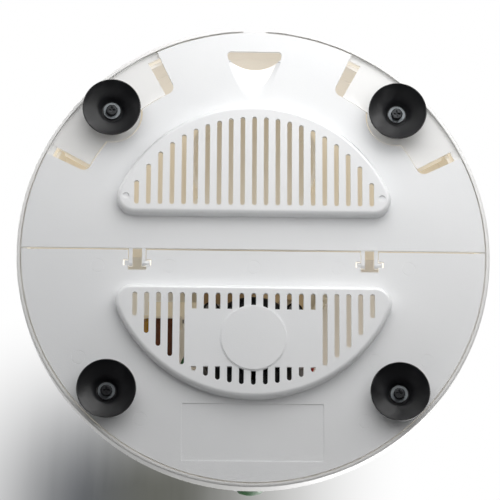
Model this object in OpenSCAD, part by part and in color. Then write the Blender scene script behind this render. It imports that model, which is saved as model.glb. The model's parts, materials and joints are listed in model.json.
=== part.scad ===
// Electric potato peeler: a round motor base that stands on four suction feet, a fixed peeling
// drum with steel blades, a driven turntable in the drum and a hinged clear lid.
// Millimetres. Z = 0 is the rim of the feet, the power button faces -Y, the hinges +Y.

/* [Base] */
// Outer diameter of the housing at its lower rim
base_d = 250; // [248:1:254]
// Height of the base plate's outer face above the table
plate_z = 11; // [10.5:0.5:11.5]
// Thickness of the moulded walls of base plate and door
plate_t = 2.2; // [2:0.1:2.4]
// Gap between the base plate's edge and the rim
rim_gap = 0.7; // [0.5:0.1:1]
// Position of the seam between base plate and cord door
seam_y = 1.2; // [1:0.1:1.4]
// Width of that seam
seam_gap = 1; // [0.8:0.1:1.2]

/* [Housing] */
// Height of the housing's top edge
housing_z = 108; // [107.5:0.5:108.5]
// Lean of the housing's wall from the vertical, in degrees
lean = 12.1; // [11.5:0.1:12.6]
// Thickness of the housing's wall
wall = 2.4; // [2.2:0.1:2.6]
// Radius of the drum well at its floor
well_r = 97; // [96.5:0.5:97.5]
// Height of the well's floor
well_z = 76; // [75.5:0.5:76]

/* [Vent grilles] */
// Height by which each half-moon grille stands out of the plate
grille_h = 7.5; // [7:0.5:8]
// Radius of the grille's curved edge
grille_r = 78.1; // [77.5:0.1:78.5]
// Distance from the centre to the grille's straight edge
grille_chord = 19.3; // [19:0.1:20]
// Radius of the rounded edge round the grille's face
grille_edge = 2.3; // [1.8:0.1:2.8]
// Radius of the grille's two corners in plan
grille_corner = 9; // [8:0.5:10]
// Distance from one slot to the next
slot_pitch = 6.21; // [6.1:0.01:6.3]
// Width of a slot
slot_w = 2.5; // [2.3:0.1:2.7]
// Slots on each side of the middle one
slot_half = 10; // [10:1:10]
// Diameter of the raised blank disc in the front grille
disc_d = 35; // [33:1:36]

/* [Feet] */
// Half of the distance between two feet
foot_xy = 76; // [75.5:0.5:76.5]
// Diameter of a suction foot at its rim
foot_d = 31; // [30:0.5:31.5]

/* [Cord door] */
// Distance of the two door hinges from the middle
hinge_x = 61.3; // [60.8:0.1:61.8]
// Width of the finger opening
finger_w = 29.2; // [28:0.2:30]
// Height of the finger opening
finger_h = 9.2; // [8.6:0.2:9.6]
// Width of the notch through which the cord leaves
cord_notch = 12; // [11:0.5:12.5]

/* [Lid] */
// Radius of the lid's collar
collar_r = 104; // [103.5:0.5:104]
// Height of the dome's top
dome_z = 201.5; // [200:0.5:203]
// Wall of the clear dome
dome_t = 2.2; // [2:0.1:2.4]
// Radius of the lid's knob
knob_r = 19; // [17:0.5:20]

/* [Drum and turntable] */
// Outer radius of the peeling drum
drum_r = 94; // [93.5:0.25:94]
// Height of the drum's rim
drum_z = 146; // [144:0.5:147]
// Number of peeling blades
blades = 3; // [3:1:3]
// Radius of the turntable
table_r = 87; // [86:0.5:88]

/* [Gear train] */
// Gear module: pitch diameter per tooth
gear_m = 1; // [1:0.1:1]
// Teeth of the wheel on the spindle
gear_teeth = 86; // [86:1:86]
// Teeth of the pinion on the motor shaft
pinion_teeth = 14; // [14:1:14]
// Backlash between the teeth, along the pitch line
backlash = 0.24; // [0.2:0.02:0.3]

/* [Power button] */
// Height of the power button's axis
button_z = 60; // [59:0.5:61]
// Radius of the button
button_r = 7; // [6.8:0.1:7]
// Distance of the button's tip from the middle
button_tip = 121.4; // [121:0.1:122]

/* [Hidden] */
$fn = 96;

// Colours
white = [0.94, 0.95, 0.96];
cream = [0.88, 0.83, 0.76];
black = [0.08, 0.08, 0.09];
green = [0.18, 0.62, 0.22];
steel = [0.72, 0.73, 0.75];
copper = [0.78, 0.42, 0.22];
brass = [0.80, 0.66, 0.32];
amber = [0.85, 0.55, 0.15];
nylon = [0.90, 0.89, 0.84];
clear = [0.85, 0.92, 0.96, 0.35];

// General fits
fit = 0.02;        // radial play of a piece that is pressed or screwed in place
run = 0.05;        // radial play of a shaft that turns
eps = 0.01;

// Levels, from the table upwards
plate_top = plate_z + plate_t;
grille_z = plate_z - grille_h;
rim_z = plate_z - 0.4;
seat_z = plate_z + 2;              // outer face of the rear foot pads
tray_z = 40;                       // top of the cord tray
tray_t = 2;
tray_low = plate_top + 2.6;        // lower edge of the tray's walls
frame_z = 50;                      // underside of the gearbox plate
frame_t = 3;
gear_z = 57;                       // underside of the gear's teeth
gear_t = 8;
floor_z = well_z - wall;           // underside of the well's floor
boss_top = well_z + 4;
joint_z = 31.4;                    // joint between base ring and housing
flange_t = 1.2;                    // flange by which the well hangs in the housing
stator_z = 25;
stator_t = 16;

// Radii and places
base_r = base_d / 2;
plate_r = base_r - 1.9 - rim_gap;
rim_in = base_r - 1.9;
pad_r = 99.4;                      // inner edge of a rear foot pad
pad_half = 16.4;                   // half angle of a foot pad
cut_low = 115.3;                   // the door's cut-out beside a pad, as angles
cut_high = 154.2;
cut_corner = 4;                    // radius of that cut-out's inner corners
foot_cut_r = 16.3;
arc_c = 1.1;                       // offset of the grille's arcs from the middle
slot_in = 23.8;                    // inner end of the slots
slot_r = 71.6;                     // arc on which the slots' outer ends lie
band_in = 32.5;                    // blank band in the front grille
band_out = 63.1;
hinge_y = -6;                      // axis of the cord door
finger_y = 107.1;                  // middle of the finger opening
hinge_z = plate_z + 2.2;
notch_z = plate_z + 12;            // top of the cord's notch in the tray
door_pin_r = 1.5;
lid_axis_y = 109;                  // axis of the lid
lid_axis_z = 113;
knuckle_r = 5.5;
plunger_y = 103.6;
motor_y = -gear_m * (gear_teeth + pinion_teeth) / 2;
shaft_r = 3;
spindle_r = 4;
spindle_top = 94;
well_out = well_r + 1 + wall;      // outer radius of the well at its top
flange_r = 101.4;
limb_x = 48.3;                     // middle of the stator limb that carries the coil
coil_half = 17;                    // half of the bobbin's length
brush = [20, 2.5, 16.7, 21.7];     // carbon brush: outer end, half width, lower and upper face
holder = [26.4, 3.3, 15.9, 22.5];  // brush holder, likewise
post_x = 38;                       // gearbox plate's posts
post_rear = 38;
post_front = -68;
tray_posts = [[62, 22], [-62, 22], [0, 92]];
collar_z = housing_z + 0.4;
dome_base = collar_z + 2;
dome_r = collar_r - 1.9;
shoulder_r = 34;

// Terminal block: its place, size and wire holes
block = [38, 66];
block_size = [16, 32, 13];
block_holes = [-10, 0, 10];

// Routes of the motor's two leads, from a brush to the terminal block
red_lead = [[-holder[0] - 0.2, motor_y, 19.2], [-29.5, motor_y, 19.2], [-32, -57, 18],
    [-27, -70, 17], [-13, -78.6, 17], [-14, -79, 28], [-20, -79, 37], [-34, -75, 43],
    [-56, -66, 43], [-70, -48, 43], [-74.5, -22, 43.3], [-74.5, -3, 43.6], [-69.5, 9.5, 44],
    [-57, 13.5, 44], [-40, 15, 44], [-20, 19, 44], [0, 21, 44], [22, 36, 44], [24, 52, 44.4],
    [32, block[1] + block_holes[0], 44.5]];
green_lead = [[holder[0] + 0.2, motor_y, 19.2], [30, motor_y - 0.4, 19.2], [35.5, -56, 18.2],
    [37.6, -63, 17], [37.8, -71, 16.8], [40, -78.5, 20], [47, -79.5, 28], [58, -76, 36],
    [69, -61, 42], [74.5, -30, 43.5], [74.5, -3, 43.6], [69.5, 9.5, 44], [58, 13.5, 44],
    [53.5, 30, 44], [53, 56, 44.4], [51, 63.5, 44.5], [45, block[1], 44.5]];

feet = [for (sx = [-1, 1], sy = [-1, 1]) [sx * foot_xy, sy * foot_xy]];
frame_posts = [for (sx = [-1, 1], y = [post_rear, post_front]) [sx * post_x, y]];
motor_bolts = [for (sx = [-1, 1], sy = [-1, 1]) [sx * 22, motor_y + sy * 21]];

function polar(r, a) = [r * cos(a), r * sin(a)];
function arc(cx, cy, r, a0, a1, n) =
    [for (i = [0:n]) [cx, cy] + polar(r, a0 + (a1 - a0) * i / n)];
function wall_r(z) = base_r - 0.62 - tan(lean) * (z - 27.9);

// ---------- General shapes ----------

module at(places) {
    for (p = places) translate([p[0], p[1], 0]) children();
}

module tube(ro, ri, z0, z1) {
    translate([0, 0, z0]) difference() {
        cylinder(r = ro, h = z1 - z0);
        translate([0, 0, -1]) cylinder(r = ri, h = z1 - z0 + 2);
    }
}

module rod(r, z0, z1) {
    translate([0, 0, z0]) cylinder(r = r, h = z1 - z0);
}

module box(x, y, z) {
    translate([x[0], y[0], z[0]]) cube([x[1] - x[0], y[1] - y[0], z[1] - z[0]]);
}

module rounded(w, d, r) {
    square([w - 2 * r, d], center = true);
    square([w, d - 2 * r], center = true);
    for (sx = [-1, 1], sy = [-1, 1])
        translate([sx * (w / 2 - r), sy * (d / 2 - r)]) circle(r = r);
}

module slab(z0, z1) {
    translate([0, 0, z0]) linear_extrude(height = z1 - z0) children();
}

module sector(r0, r1, a0, a1) {
    far = 2 * r1;
    intersection() {
        difference() {
            circle(r = r1, $fn = 180);
            circle(r = r0, $fn = 180);
        }
        polygon([[0, 0], polar(far, a0), polar(far, (a0 + a1) / 2), polar(far, a1)]);
    }
}

module half(front, limit) {
    translate([-200, front ? limit - 300 : limit]) square([400, 300]);
}

module both_sides() {
    children();
    mirror([1, 0, 0]) children();
}

// A pan-head screw along +Z with its head's bearing face at z
module screw(z, head_r, head_h, r, length) {
    recess = head_h * 0.55;
    difference() {
        union() {
            translate([0, 0, z - head_h]) rotate_extrude() polygon(concat(
                [[0, 0]], arc(head_r - 0.8, 0.8, 0.8, -90, 0, 4), [[head_r, head_h], [0, head_h]]));
            rod(r, z - eps, z + length - r);
            translate([0, 0, z + length - r]) cylinder(r1 = r, r2 = 0.4, h = r);
        }
        for (a = [0, 90]) rotate([0, 0, a]) translate([0, 0, z - head_h])
            cube([head_r * 1.2, head_r * 0.3, 2 * recess], center = true);
    }
}

// A strand of radius r swept along a path; no stretch of the path runs along side
module swept(path, r, sides, side) {
    n = len(path) - 1;
    function along(i) = path[min(i + 1, n)] - path[max(i - 1, 0)];
    function ring(i) = let (
        t = along(i) / norm(along(i)), u = cross(t, side) / norm(cross(t, side)), v = cross(t, u))
        [for (k = [0:sides - 1]) path[i] + r * (u * cos(360 * k / sides) + v * sin(360 * k / sides))];
    polyhedron(points = [for (i = [0:n]) each ring(i)], faces = concat(
        [for (i = [0:n - 1], k = [0:sides - 1]) let (m = (k + 1) % sides, a = i * sides)
            each [[a + k, a + m, a + sides + m], [a + k, a + sides + m, a + sides + k]]],
        [[for (k = [sides - 1:-1:0]) k], [for (k = [0:sides - 1]) n * sides + k]]));
}

// A coil spring along +Z
module spring(r, wire, height, turns) {
    steps = 14;
    swept([for (i = [0:turns * steps]) let (a = 360 * i / steps)
        [r * cos(a), r * sin(a), wire / 2 + (height - wire) * i / turns / steps]],
        wire / 2, 6, [0, 0, 1]);
}

// ---------- Gear teeth ----------

// Involute: angle from the base circle's start, in degrees, at radius r
function inv_angle(rb, r) = let (t = sqrt(max(0, pow(r / rb, 2) - 1))) t * 180 / PI - atan(t);
// One flank, from root to tip, as [radius, half angle of the tooth there]
function flank(teeth, n) = let (
    rp = gear_m * teeth / 2, rb = rp * cos(20), ra = rp + gear_m,
    half = 90 / teeth - backlash / 4 / rp * 180 / PI + inv_angle(rb, rp))
    [for (i = [0:n]) let (r = max(rb, rp - gear_m) + (ra - max(rb, rp - gear_m)) * i / n)
        [r, half - inv_angle(rb, r)]];
function tooth(teeth, k, n) = let (
    f = flank(teeth, n), root = gear_m * teeth / 2 - 1.25 * gear_m, a = 360 * k / teeth)
    concat([polar(root, a - f[0][1])], [for (p = f) polar(p[0], a - p[1])],
        [for (i = [n:-1:0]) polar(f[i][0], a + f[i][1])], [polar(root, a + f[0][1])]);

module teeth(count, n) {
    polygon([for (k = [0:count - 1]) each tooth(count, k, n)]);
}

// ---------- Vent grille, shared by base plate and door ----------

// Plan of the half-moon, inset by t: a wide arc that runs into two round corners
function half_moon(t) = let (
    c = grille_corner - t,
    y = grille_chord + grille_corner,
    x = sqrt(pow(grille_r - grille_corner, 2) - pow(y - arc_c, 2)),
    a = atan2(y - arc_c, x))
    concat(arc(x, y, c, -90, a - 2, 6), arc(0, arc_c, grille_r - t, a, 180 - a, 36),
        arc(-x, y, c, 182 - a, 270, 6));

// Solid of the bump, with a rounded lower edge
module bump() {
    module level(inset, z) {
        translate([0, 0, z]) linear_extrude(height = eps) polygon(half_moon(inset));
    }
    hull() {
        level(0, plate_z + 0.1);
        for (a = [0:22.5:90])
            level(grille_edge * (1 - cos(a)), grille_z + grille_edge * (1 - sin(a)));
    }
}

module bump_hollow() {
    slab(grille_z + plate_t, plate_top + 1) polygon(half_moon(plate_t + 0.3));
}

// Outline of slot number i of the grille, from y0 to y1; an end is round or square
module slot(i, y0, y1, round_in, round_out) {
    r = slot_w / 2;
    x = i * slot_pitch;
    polygon(concat(
        round_in ? arc(x, y0 + r, r, 180, 360, 8) : [[x - r, y0], [x + r, y0]],
        round_out ? arc(x, y1 - r, r, 0, 180, 8) : [[x + r, y1], [x - r, y1]]));
}

function slot_end(i) = arc_c + sqrt(pow(slot_r, 2) - pow(i * slot_pitch, 2));

// ---------- Casing ----------

// Upper part of the wall with the top edge, on which the well's flange lies
module housing_profile() {
    top_r = 4;
    arc_top = housing_z - top_r + top_r * sin(lean);
    corner = wall_r(arc_top) - top_r * cos(lean);
    polygon(concat(
        [[wall_r(joint_z) - 0.8, joint_z], [wall_r(32) - 0.8, 31.9], [wall_r(32.4), 32.4]],
        arc(corner, housing_z - top_r, top_r, lean, 90, 8),
        [[flange_r + fit, housing_z], [flange_r + fit, housing_z - flange_t],
         [well_out + fit, housing_z - flange_t], [well_out + fit, housing_z - wall],
         [wall_r(105) - wall - 1, housing_z - wall], [wall_r(104) - wall, 104],
         [wall_r(joint_z) - wall, joint_z]]));
}

// Lower part of the wall with the rim and the ledge over base plate and door
module ring_profile() {
    polygon(concat(
        [[rim_in, rim_z]], arc(base_r - 1.2, rim_z + 1.2, 1.2, -90, 0, 6),
        arc(base_r - 28, 22, 28, 0, lean, 6),
        [[wall_r(30.4), 30.4], [wall_r(30.4) - 0.8, 30.9], [wall_r(joint_z) - 0.8, joint_z],
         [wall_r(joint_z) - wall, joint_z], [wall_r(27.9) - wall, 27.9], [base_r - wall, 22],
         [base_r - wall, plate_top + 3], [plate_r - 3, plate_top + 3], [plate_r - 3, plate_top],
         [rim_in, plate_top]]));
}

module well_profile() {
    lip = 1.5;
    polygon(concat(
        [[flange_r, housing_z]], arc(well_r + 1 + lip, housing_z - lip, lip, 90, 180, 6),
        [[well_r, well_z + 2], [well_r - 2, well_z]],
        [[11.5, well_z], [11.5, boss_top], [8 + fit, boss_top], [8 + fit, 67], [11.5, 67],
         [11.5, floor_z]],
        [[well_r - 1, floor_z], [well_r + wall, floor_z + 3], [well_out, housing_z - wall],
         [well_out, housing_z - flange_t], [flange_r, housing_z - flange_t]]));
}

// Lug and knuckle of the lid's hinge, drawn from the rear edge down into the wall
module lid_lug() {
    translate([24.2, 0, 0]) rotate([90, 0, 90]) linear_extrude(height = 8.8) {
        translate([lid_axis_y, lid_axis_z]) circle(r = knuckle_r, $fn = 48);
        polygon([[105, 92], [109, 90], [lid_axis_y + knuckle_r, 97],
            [lid_axis_y + knuckle_r, lid_axis_z], [105.2, lid_axis_z], [105.2, 107],
            [103, 106.5], [103, 98]]);
    }
}

// Rear foot pad on the left of the mirror plane: a tongue of the rim that carries the foot
module foot_pad() {
    middle = 135;
    slab(seat_z, seat_z + wall) {
        sector(pad_r, rim_in, middle - pad_half, middle + pad_half);
        translate([-foot_xy, foot_xy]) circle(r = foot_cut_r - 0.8);
    }
    for (side = [-1, 1]) slab(seat_z, seat_z + 9)
        sector(pad_r, rim_in - 8, middle + side * (pad_half - 0.45) - 0.45,
            middle + side * (pad_half - 0.45) + 0.45);
    translate([-foot_xy, foot_xy, 0]) rod(12, plate_z, seat_z);
}

module drum_stop(a) {
    rotate([0, 0, a]) for (side = [-1, 1])
        box([well_r - 1.6, well_r + 1.6], [side * 6.5 - 1, side * 6.5 + 1], [well_z + 1, 104]);
}

module housing() {
    guide_low = 96;
    color(white) difference() {
        union() {
            rotate_extrude($fn = 180) housing_profile();
            both_sides() lid_lug();
            translate([0, 0, button_z]) rotate([90, 0, 0]) rod(9.6, 103, 118.2);
            difference() {
                translate([0, plunger_y, 0]) rod(3.2, guide_low, housing_z - flange_t);
                rod(well_out + fit, guide_low - 1, housing_z);
            }
        }
        translate([0, 0, button_z]) rotate([90, 0, 0]) rod(button_r + 0.3, 100, 130);
        translate([0, plunger_y, 0]) rod(2 + run, 90, 120);
        translate([0, lid_axis_y, lid_axis_z]) rotate([0, 90, 0]) rod(2 + fit, -40, 40);
    }
}

// C-shaped ring round the underside, open at the rear for the cord
module base_ring() {
    color(white) difference() {
        union() {
            rotate_extrude($fn = 180) ring_profile();
            both_sides() foot_pad();
        }
        box([-cord_notch / 2, cord_notch / 2], [base_r - 8, base_r + 2], [0, joint_z + 1]);
        at(feet) rod(2 + fit, 0, 34);
    }
}

module drum_well() {
    color(white) {
        rotate_extrude($fn = 180) well_profile();
        for (a = [30, 150, 270]) drum_stop(a);
        for (side = [-1, 1]) box([side * 11 - 1, side * 11 + 1], [98, 107.5], [68, 84]);
    }
}

// Screw posts for feet, motor frame and tray, and the brackets of the power switch
module mounting_posts() {
    color(white) difference() {
        union() {
            intersection() {
                union() {
                    at([for (p = feet) if (p[1] < 0) p]) rod(6.5, plate_top, 72);
                    at([for (p = feet) if (p[1] > 0) p]) rod(6.5, seat_z + wall, 72);
                }
                cylinder(r1 = wall_r(0) - wall, r2 = wall_r(80) - wall, h = 80);
            }
            at(frame_posts) rod(4.5, frame_z + frame_t, floor_z);
            at(tray_posts) rod(4.5, tray_z, floor_z);
            for (side = [-1, 1])
                box([side * 11 - 1, side * 11 + 1], [-96, -80], [54, floor_z]);
        }
        at(feet) rod(2 + fit, 0, 34);
        at(frame_posts) rod(1.5 + fit, 0, 66);
        at(tray_posts) rod(1.5 + fit, 0, 54);
    }
}

module hinge_slot() {
    slot_half_w = 4.8;
    notch = 2.6;
    edge = seam_y - seam_gap / 2;
    box([hinge_x - slot_half_w, hinge_x + slot_half_w], [hinge_y - 4.1, edge + 1],
        [plate_z - 1, plate_top + 5]);
    box([hinge_x - slot_half_w - notch, hinge_x + slot_half_w + notch],
        [hinge_y - 1.7, hinge_y + 1.7], [plate_z - 1, hinge_z + 1.8]);
}

// Saddles that trap the door's hinge pins from above
module hinge_saddle() {
    for (side = [-1, 1]) box([hinge_x + side * 6.4 - 1.6, hinge_x + side * 6.4 + 1.6],
        [hinge_y - 3.4, hinge_y + 3.4], [plate_top - eps, hinge_z + 3.2]);
}

module front_base_plate() {
    edge = seam_y - seam_gap / 2;
    label = [74, 30.3];
    label_y = -96.4;
    ring_marks = [[0, -8], [44.5, -8], [-44.5, -8], [82, -8], [-82, -8], [91, -57.5],
        [-91, -57.5], [63.5, -58], [-63.5, -58], [58.5, -90], [-58.5, -90]];
    color(white) difference() {
        union() {
            difference() {
                union() {
                    slab(plate_z, plate_top) intersection() {
                        circle(r = plate_r, $fn = 180);
                        half(true, edge);
                    }
                    slab(plate_top - eps, plate_top + 4) intersection() {
                        difference() {
                            circle(r = plate_r - 3.4, $fn = 180);
                            circle(r = plate_r - 5.2, $fn = 180);
                        }
                        half(true, edge - 6);
                    }
                    mirror([0, 1, 0]) bump();
                    both_sides() hinge_saddle();
                    at(ring_marks) tube(3.6, 2, plate_top - eps, plate_top + 7);
                }
                mirror([0, 1, 0]) bump_hollow();
                mirror([0, 1, 0]) slab(grille_z - 1, grille_z + plate_t + 1)
                    for (i = [-slot_half:slot_half]) {
                        if (abs(i) > 5) slot(i, slot_in, slot_end(i), true, true);
                        else {
                            slot(i, slot_in, band_in, true, false);
                            slot(i, band_out, slot_end(i), false, true);
                        }
                    }
            }
            translate([0, -(band_in + band_out) / 2, 0]) {
                rod(disc_d / 2 - 0.6, grille_z - 0.8, grille_z + plate_t);
                rod(disc_d / 2, grille_z - 0.3, grille_z + plate_t);
            }
        }
        slab(plate_z - 1, plate_z + 0.5) translate([0, label_y])
            rounded(label[0], label[1], 0.6);
        both_sides() hinge_slot();
        at(feet) rod(2 + 0.2, 0, 30);
        at(ring_marks) tube(3.65, 3.4, plate_z - 1, plate_z + 0.15);
    }
}

// Outline of the finger opening: a flat edge towards the rim and a curved lip towards the scoop
function finger_outline(y) = let (
    r = 2, top = finger_h / 2, half_w = finger_w / 2 - 0.5,
    big = (pow(half_w, 2) + pow(top, 2)) / (2 * top), a = asin(half_w / big))
    concat(arc(0, y - top + big, big, 270 - a, 270 + a, 16),
        arc(finger_w / 2 - r, y + top - r, r, -10, 90, 6),
        arc(r - finger_w / 2, y + top - r, r, 90, 190, 6));

// Outline of the door's cut-out round a foot pad, with round inner corners
function pad_cut(r, c) = let (
    far = base_r + 15, d = asin(c / (r + c)), n = 24, a0 = cut_low, a1 = cut_high,
    p = polar(r + c, a1 - d), q = polar(r + c, a0 + d))
    concat([polar(far, a0), polar(far, (a0 + a1) / 2), polar(far, a1)],
        arc(p[0], p[1], c, a1 + 90, a1 - d + 180, 6),
        [for (i = [1:n - 1]) polar(r, a1 - d + (a0 - a1 + 2 * d) * i / n)],
        arc(q[0], q[1], c, a0 + d + 180, a0 + 270, 6));

// Thumb scoop: a tilted cylinder that rises from the door's face to its depth at the opening
module scoop(wall_t, y_end) {
    inner_r = 24;
    depth = 5;
    low_y = 83;
    tilt = atan(depth / (finger_y - low_y));
    intersection() {
        translate([0, low_y, plate_z]) rotate([tilt, 0, 0]) translate([0, 0, -inner_r])
            rotate([-90, 0, 0]) rod(inner_r + wall_t, -20, 40);
        box([-30, 30], [low_y - 8, y_end], [plate_z - (wall_t > 0 ? 0 : 1), plate_z + 12]);
    }
}

module door_hinge() {
    for (side = [-1, 1]) {
        x = hinge_x + side * 3.45;
        box([x - 1, x + 1], [hinge_y, seam_y + seam_gap / 2 + 3], [plate_z + 0.3, hinge_z + 1.9]);
        translate([x - 1, hinge_y, hinge_z]) rotate([0, 90, 0]) rod(1.9, 0, 2);
        translate([hinge_x + side * 5.55, hinge_y, hinge_z]) rotate([0, 90, 0])
            rod(door_pin_r, -1.15, 1.15);
    }
}

module cord_door() {
    edge = seam_y + seam_gap / 2;
    dimple = [67.6, 28.4];
    color(white) difference() {
        union() {
            difference() {
                union() {
                    slab(plate_z, plate_top) difference() {
                        intersection() {
                            circle(r = plate_r, $fn = 180);
                            half(false, edge);
                        }
                        both_sides() {
                            polygon(pad_cut(pad_r - 0.8, cut_corner));
                            translate([-foot_xy, foot_xy]) circle(r = foot_cut_r);
                        }
                    }
                    bump();
                    scoop(1.8, finger_y);
                }
                bump_hollow();
                scoop(0, finger_y - 1);
                slab(plate_z - 1, plate_z + 12) polygon(finger_outline(finger_y));
                slab(grille_z - 1, grille_z + plate_t + 1) for (i = [-slot_half:slot_half])
                    slot(i, slot_in, slot_end(i), true, true);
                for (side = [-1, 1])
                    translate([side * dimple[0], dimple[1], 0]) rod(1.7, grille_z - 1, grille_z + 0.8);
            }
            both_sides() door_hinge();
        }
    }
}

// Ceiling and walls of the cord compartment
module cord_tray() {
    outer = 118.4;
    front = 4;
    color(cream) difference() {
        union() {
            slab(tray_z - tray_t, tray_z) intersection() {
                circle(r = outer, $fn = 180);
                half(false, front);
            }
            slab(tray_low, tray_z - 1) intersection() {
                difference() {
                    circle(r = outer, $fn = 180);
                    circle(r = outer - 2, $fn = 180);
                }
                half(false, front);
            }
            box([-115, 115], [front, front + 2], [tray_low, tray_z - 1]);
        }
        at([for (p = feet) if (p[1] > 0) p]) rod(7.2, 10, 60);
        at(tray_posts) rod(1.8, 10, 60);
        translate([38, 14, 0]) rod(5 + fit, 10, 60);
        box([-cord_notch / 2, cord_notch / 2], [110, 125], [tray_low - 1, notch_z]);
    }
}

// Drum that the cord is wound on, with four lips that hold the turns
module cord_spool() {
    spool_r = 34;
    color(cream) translate([0, 52, 0]) {
        tube(spool_r, spool_r - 2, tray_low, tray_z - tray_t);
        for (a = [45:90:315]) rotate([0, 0, a])
            box([spool_r - 1.5, spool_r + 7], [-6, 6], [tray_low, tray_low + 2]);
    }
}

module cord_gland() {
    color(black) translate([38, 14, 0]) difference() {
        union() {
            rod(7.5, tray_z - 4.5, tray_z - 2);
            rod(5, tray_z - 3, tray_z + 6);
            translate([0, 0, tray_z - 10]) cylinder(r1 = 4.8, r2 = 6, h = 6);
        }
        rod(3.6, 0, 60);
    }
}

module rubber_feet() {
    color(black) at(feet) difference() {
        rotate_extrude() polygon(concat(
            [[0, 7.8], [5.6, 7.8]], arc(8.2, 7.2, 2, 160, 250, 4),
            [[10.6, 3.4], [13, 1.6], [14.2, 0], [foot_d / 2 - 0.3, 0], [foot_d / 2, 0.4],
             [foot_d / 2, 1.4], [14, 3.6], [11.8, 7], [10.6, 10.4], [10.2, plate_z], [0, plate_z]]));
        rod(2.2, 0, 20);
    }
}

module foot_washers() {
    color(steel) at(feet) tube(4.5, 2.15, 7, 7.8);
}

module foot_screws() {
    color(steel) at(feet) screw(7, 3.05, 1.8, 2, 26);
}

module case_screws() {
    color(steel) {
        at(frame_posts) screw(frame_z, 3, 2.2, 1.5, 15);
        at(tray_posts) screw(tray_z - 2, 3, 2.2, 1.5, 15);
    }
}

// ---------- Controls ----------

module power_button() {
    front = button_tip - 3.2;
    color(green) translate([0, 0, button_z]) rotate([90, 0, 0]) {
        difference() {
            rotate_extrude() polygon(concat([[0, 103], [button_r, 103], [button_r, front]],
                arc(button_r - 2.4, front, 2.4, 0, 62, 6), [[2.4, button_tip - 0.15],
                [0, button_tip]]));
            tube(5.4, 3, 100, front - 2);
        }
        rod(3, 99.5, 104);
        tube(8.8, 5.2, 101.2, 102.8);
        tube(7, 5.2, 102.7, 103.2);
    }
}

module button_spring() {
    color(steel) translate([0, -96.1, button_z]) rotate([90, 0, 0]) spring(4.2, 0.7, 20, 7);
}

module power_switch() {
    color(black) {
        difference() {
            box([-10, 10], [-96, -80], [53, 67]);
            for (x = [-6, 0, 6]) box([x - 2.4, x + 2.4], [-81.5, -79], [56, 64]);
        }
        translate([0, 0, button_z]) rotate([90, 0, 0]) rod(2, 95, 96.45);
    }
    color(brass) for (x = [-6, 0, 6]) box([x - 1.6, x + 1.6], [-82, -74], [59.6, 60.4]);
}

module interlock_plunger() {
    color(nylon) translate([0, plunger_y, 0]) {
        rod(2, 82.15, housing_z + 0.1);
        rod(2.9, 90.6, 92);
    }
}

module interlock_spring() {
    color(steel) translate([0, plunger_y, 82.2]) spring(2.5, 0.5, 8.3, 5);
}

module interlock_switch() {
    color(black) {
        box([-10, 10], [plunger_y - 1.6, plunger_y + 4.8], [66, 82]);
        translate([0, plunger_y, 0]) rod(1.2, 81, 82.1);
    }
    color(brass) for (x = [-7, 0, 7]) box([x - 1.6, x + 1.6], [plunger_y + 1, plunger_y + 1.6],
        [58, 67]);
}

// ---------- Motor ----------

module gearbox_plate() {
    color(steel) difference() {
        union() {
            slab(frame_z, frame_z + frame_t) {
                translate([0, (post_rear + post_front) / 2])
                    rounded(56, post_rear - post_front + 14, 7);
                for (y = [post_rear, post_front]) translate([0, y]) rounded(2 * post_x + 14, 14, 6.9);
            }
            rod(11.5, frame_z - 6, frame_z + frame_t + 1);
            translate([0, motor_y, 0]) rod(10, frame_z, frame_z + 5.8);
            at(motor_bolts) rod(3.6, stator_z + stator_t, frame_z + eps);
        }
        rod(8 + fit, 40, 60);
        translate([0, motor_y, 0]) {
            rod(7 + fit, frame_z - 1, frame_z + 4.8);
            rod(4.2, frame_z, 60);
        }
        at(frame_posts) rod(1.8, 40, 60);
        at(motor_bolts) rod(1.8 + fit, 30, 60);
        for (sx = [-1, 1], y = [-22, 24]) translate([sx * 19, y, 0]) rod(6.5, 40, 60);
    }
}

module motor_stator() {
    arm = 7;
    limb = 10;
    color(steel) slab(stator_z, stator_z + stator_t) difference() {
        translate([0, motor_y]) union() {
            rounded(54, 50, 4);
            translate([12, 25 - arm]) square([limb_x + limb / 2 - 12, arm]);
            translate([12, -25]) square([limb_x + limb / 2 - 12, arm]);
            translate([limb_x - limb / 2, -25]) square([limb, 50]);
        }
        translate([0, motor_y]) circle(r = 16);
        at(motor_bolts) circle(r = 1.8 + 0.1);
    }
}

module around_limb(w, h, r, y0, y1) {
    translate([limb_x, y1, stator_z + stator_t / 2]) rotate([90, 0, 0])
        linear_extrude(height = y1 - y0) rounded(w, h, r);
}

// Bobbin with two flanges and an apron that covers the stator's upper arm from below
module coil_bobbin() {
    y0 = motor_y - coil_half;
    y1 = motor_y + coil_half;
    color(nylon) difference() {
        union() {
            around_limb(12, 18, 1, y0, y1);
            around_limb(22.4, 29, 3, y0, y0 + 1.2);
            around_limb(22.4, 29, 3, y1 - 1.2, y1);
            box([28, limb_x + 7], [y1 - 0.6, -24.4], [stator_z - 1.3, stator_z - fit]);
        }
        around_limb(10 + 2 * fit, stator_t + 2 * fit, 0.1, y0 - 1, y1 + 1);
    }
}

module field_coil() {
    y0 = motor_y - coil_half + 1.2;
    y1 = motor_y + coil_half - 1.2;
    color(copper) difference() {
        around_limb(19.4, 28, 5, y0, y1);
        around_limb(12, 18, 1, y0 - 1, y1 + 1);
    }
}

// A patch of tape over the ends of the winding, round the coil's outer side
module coil_tape() {
    color(amber) difference() {
        around_limb(20, 28.6, 5.3, motor_y + 2, motor_y + coil_half - 1.4);
        around_limb(19.4 + fit, 28 + fit, 5, motor_y - 9, motor_y + 20);
        box([0, limb_x + 5], [-100, 0], [0, 60]);
    }
}

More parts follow.
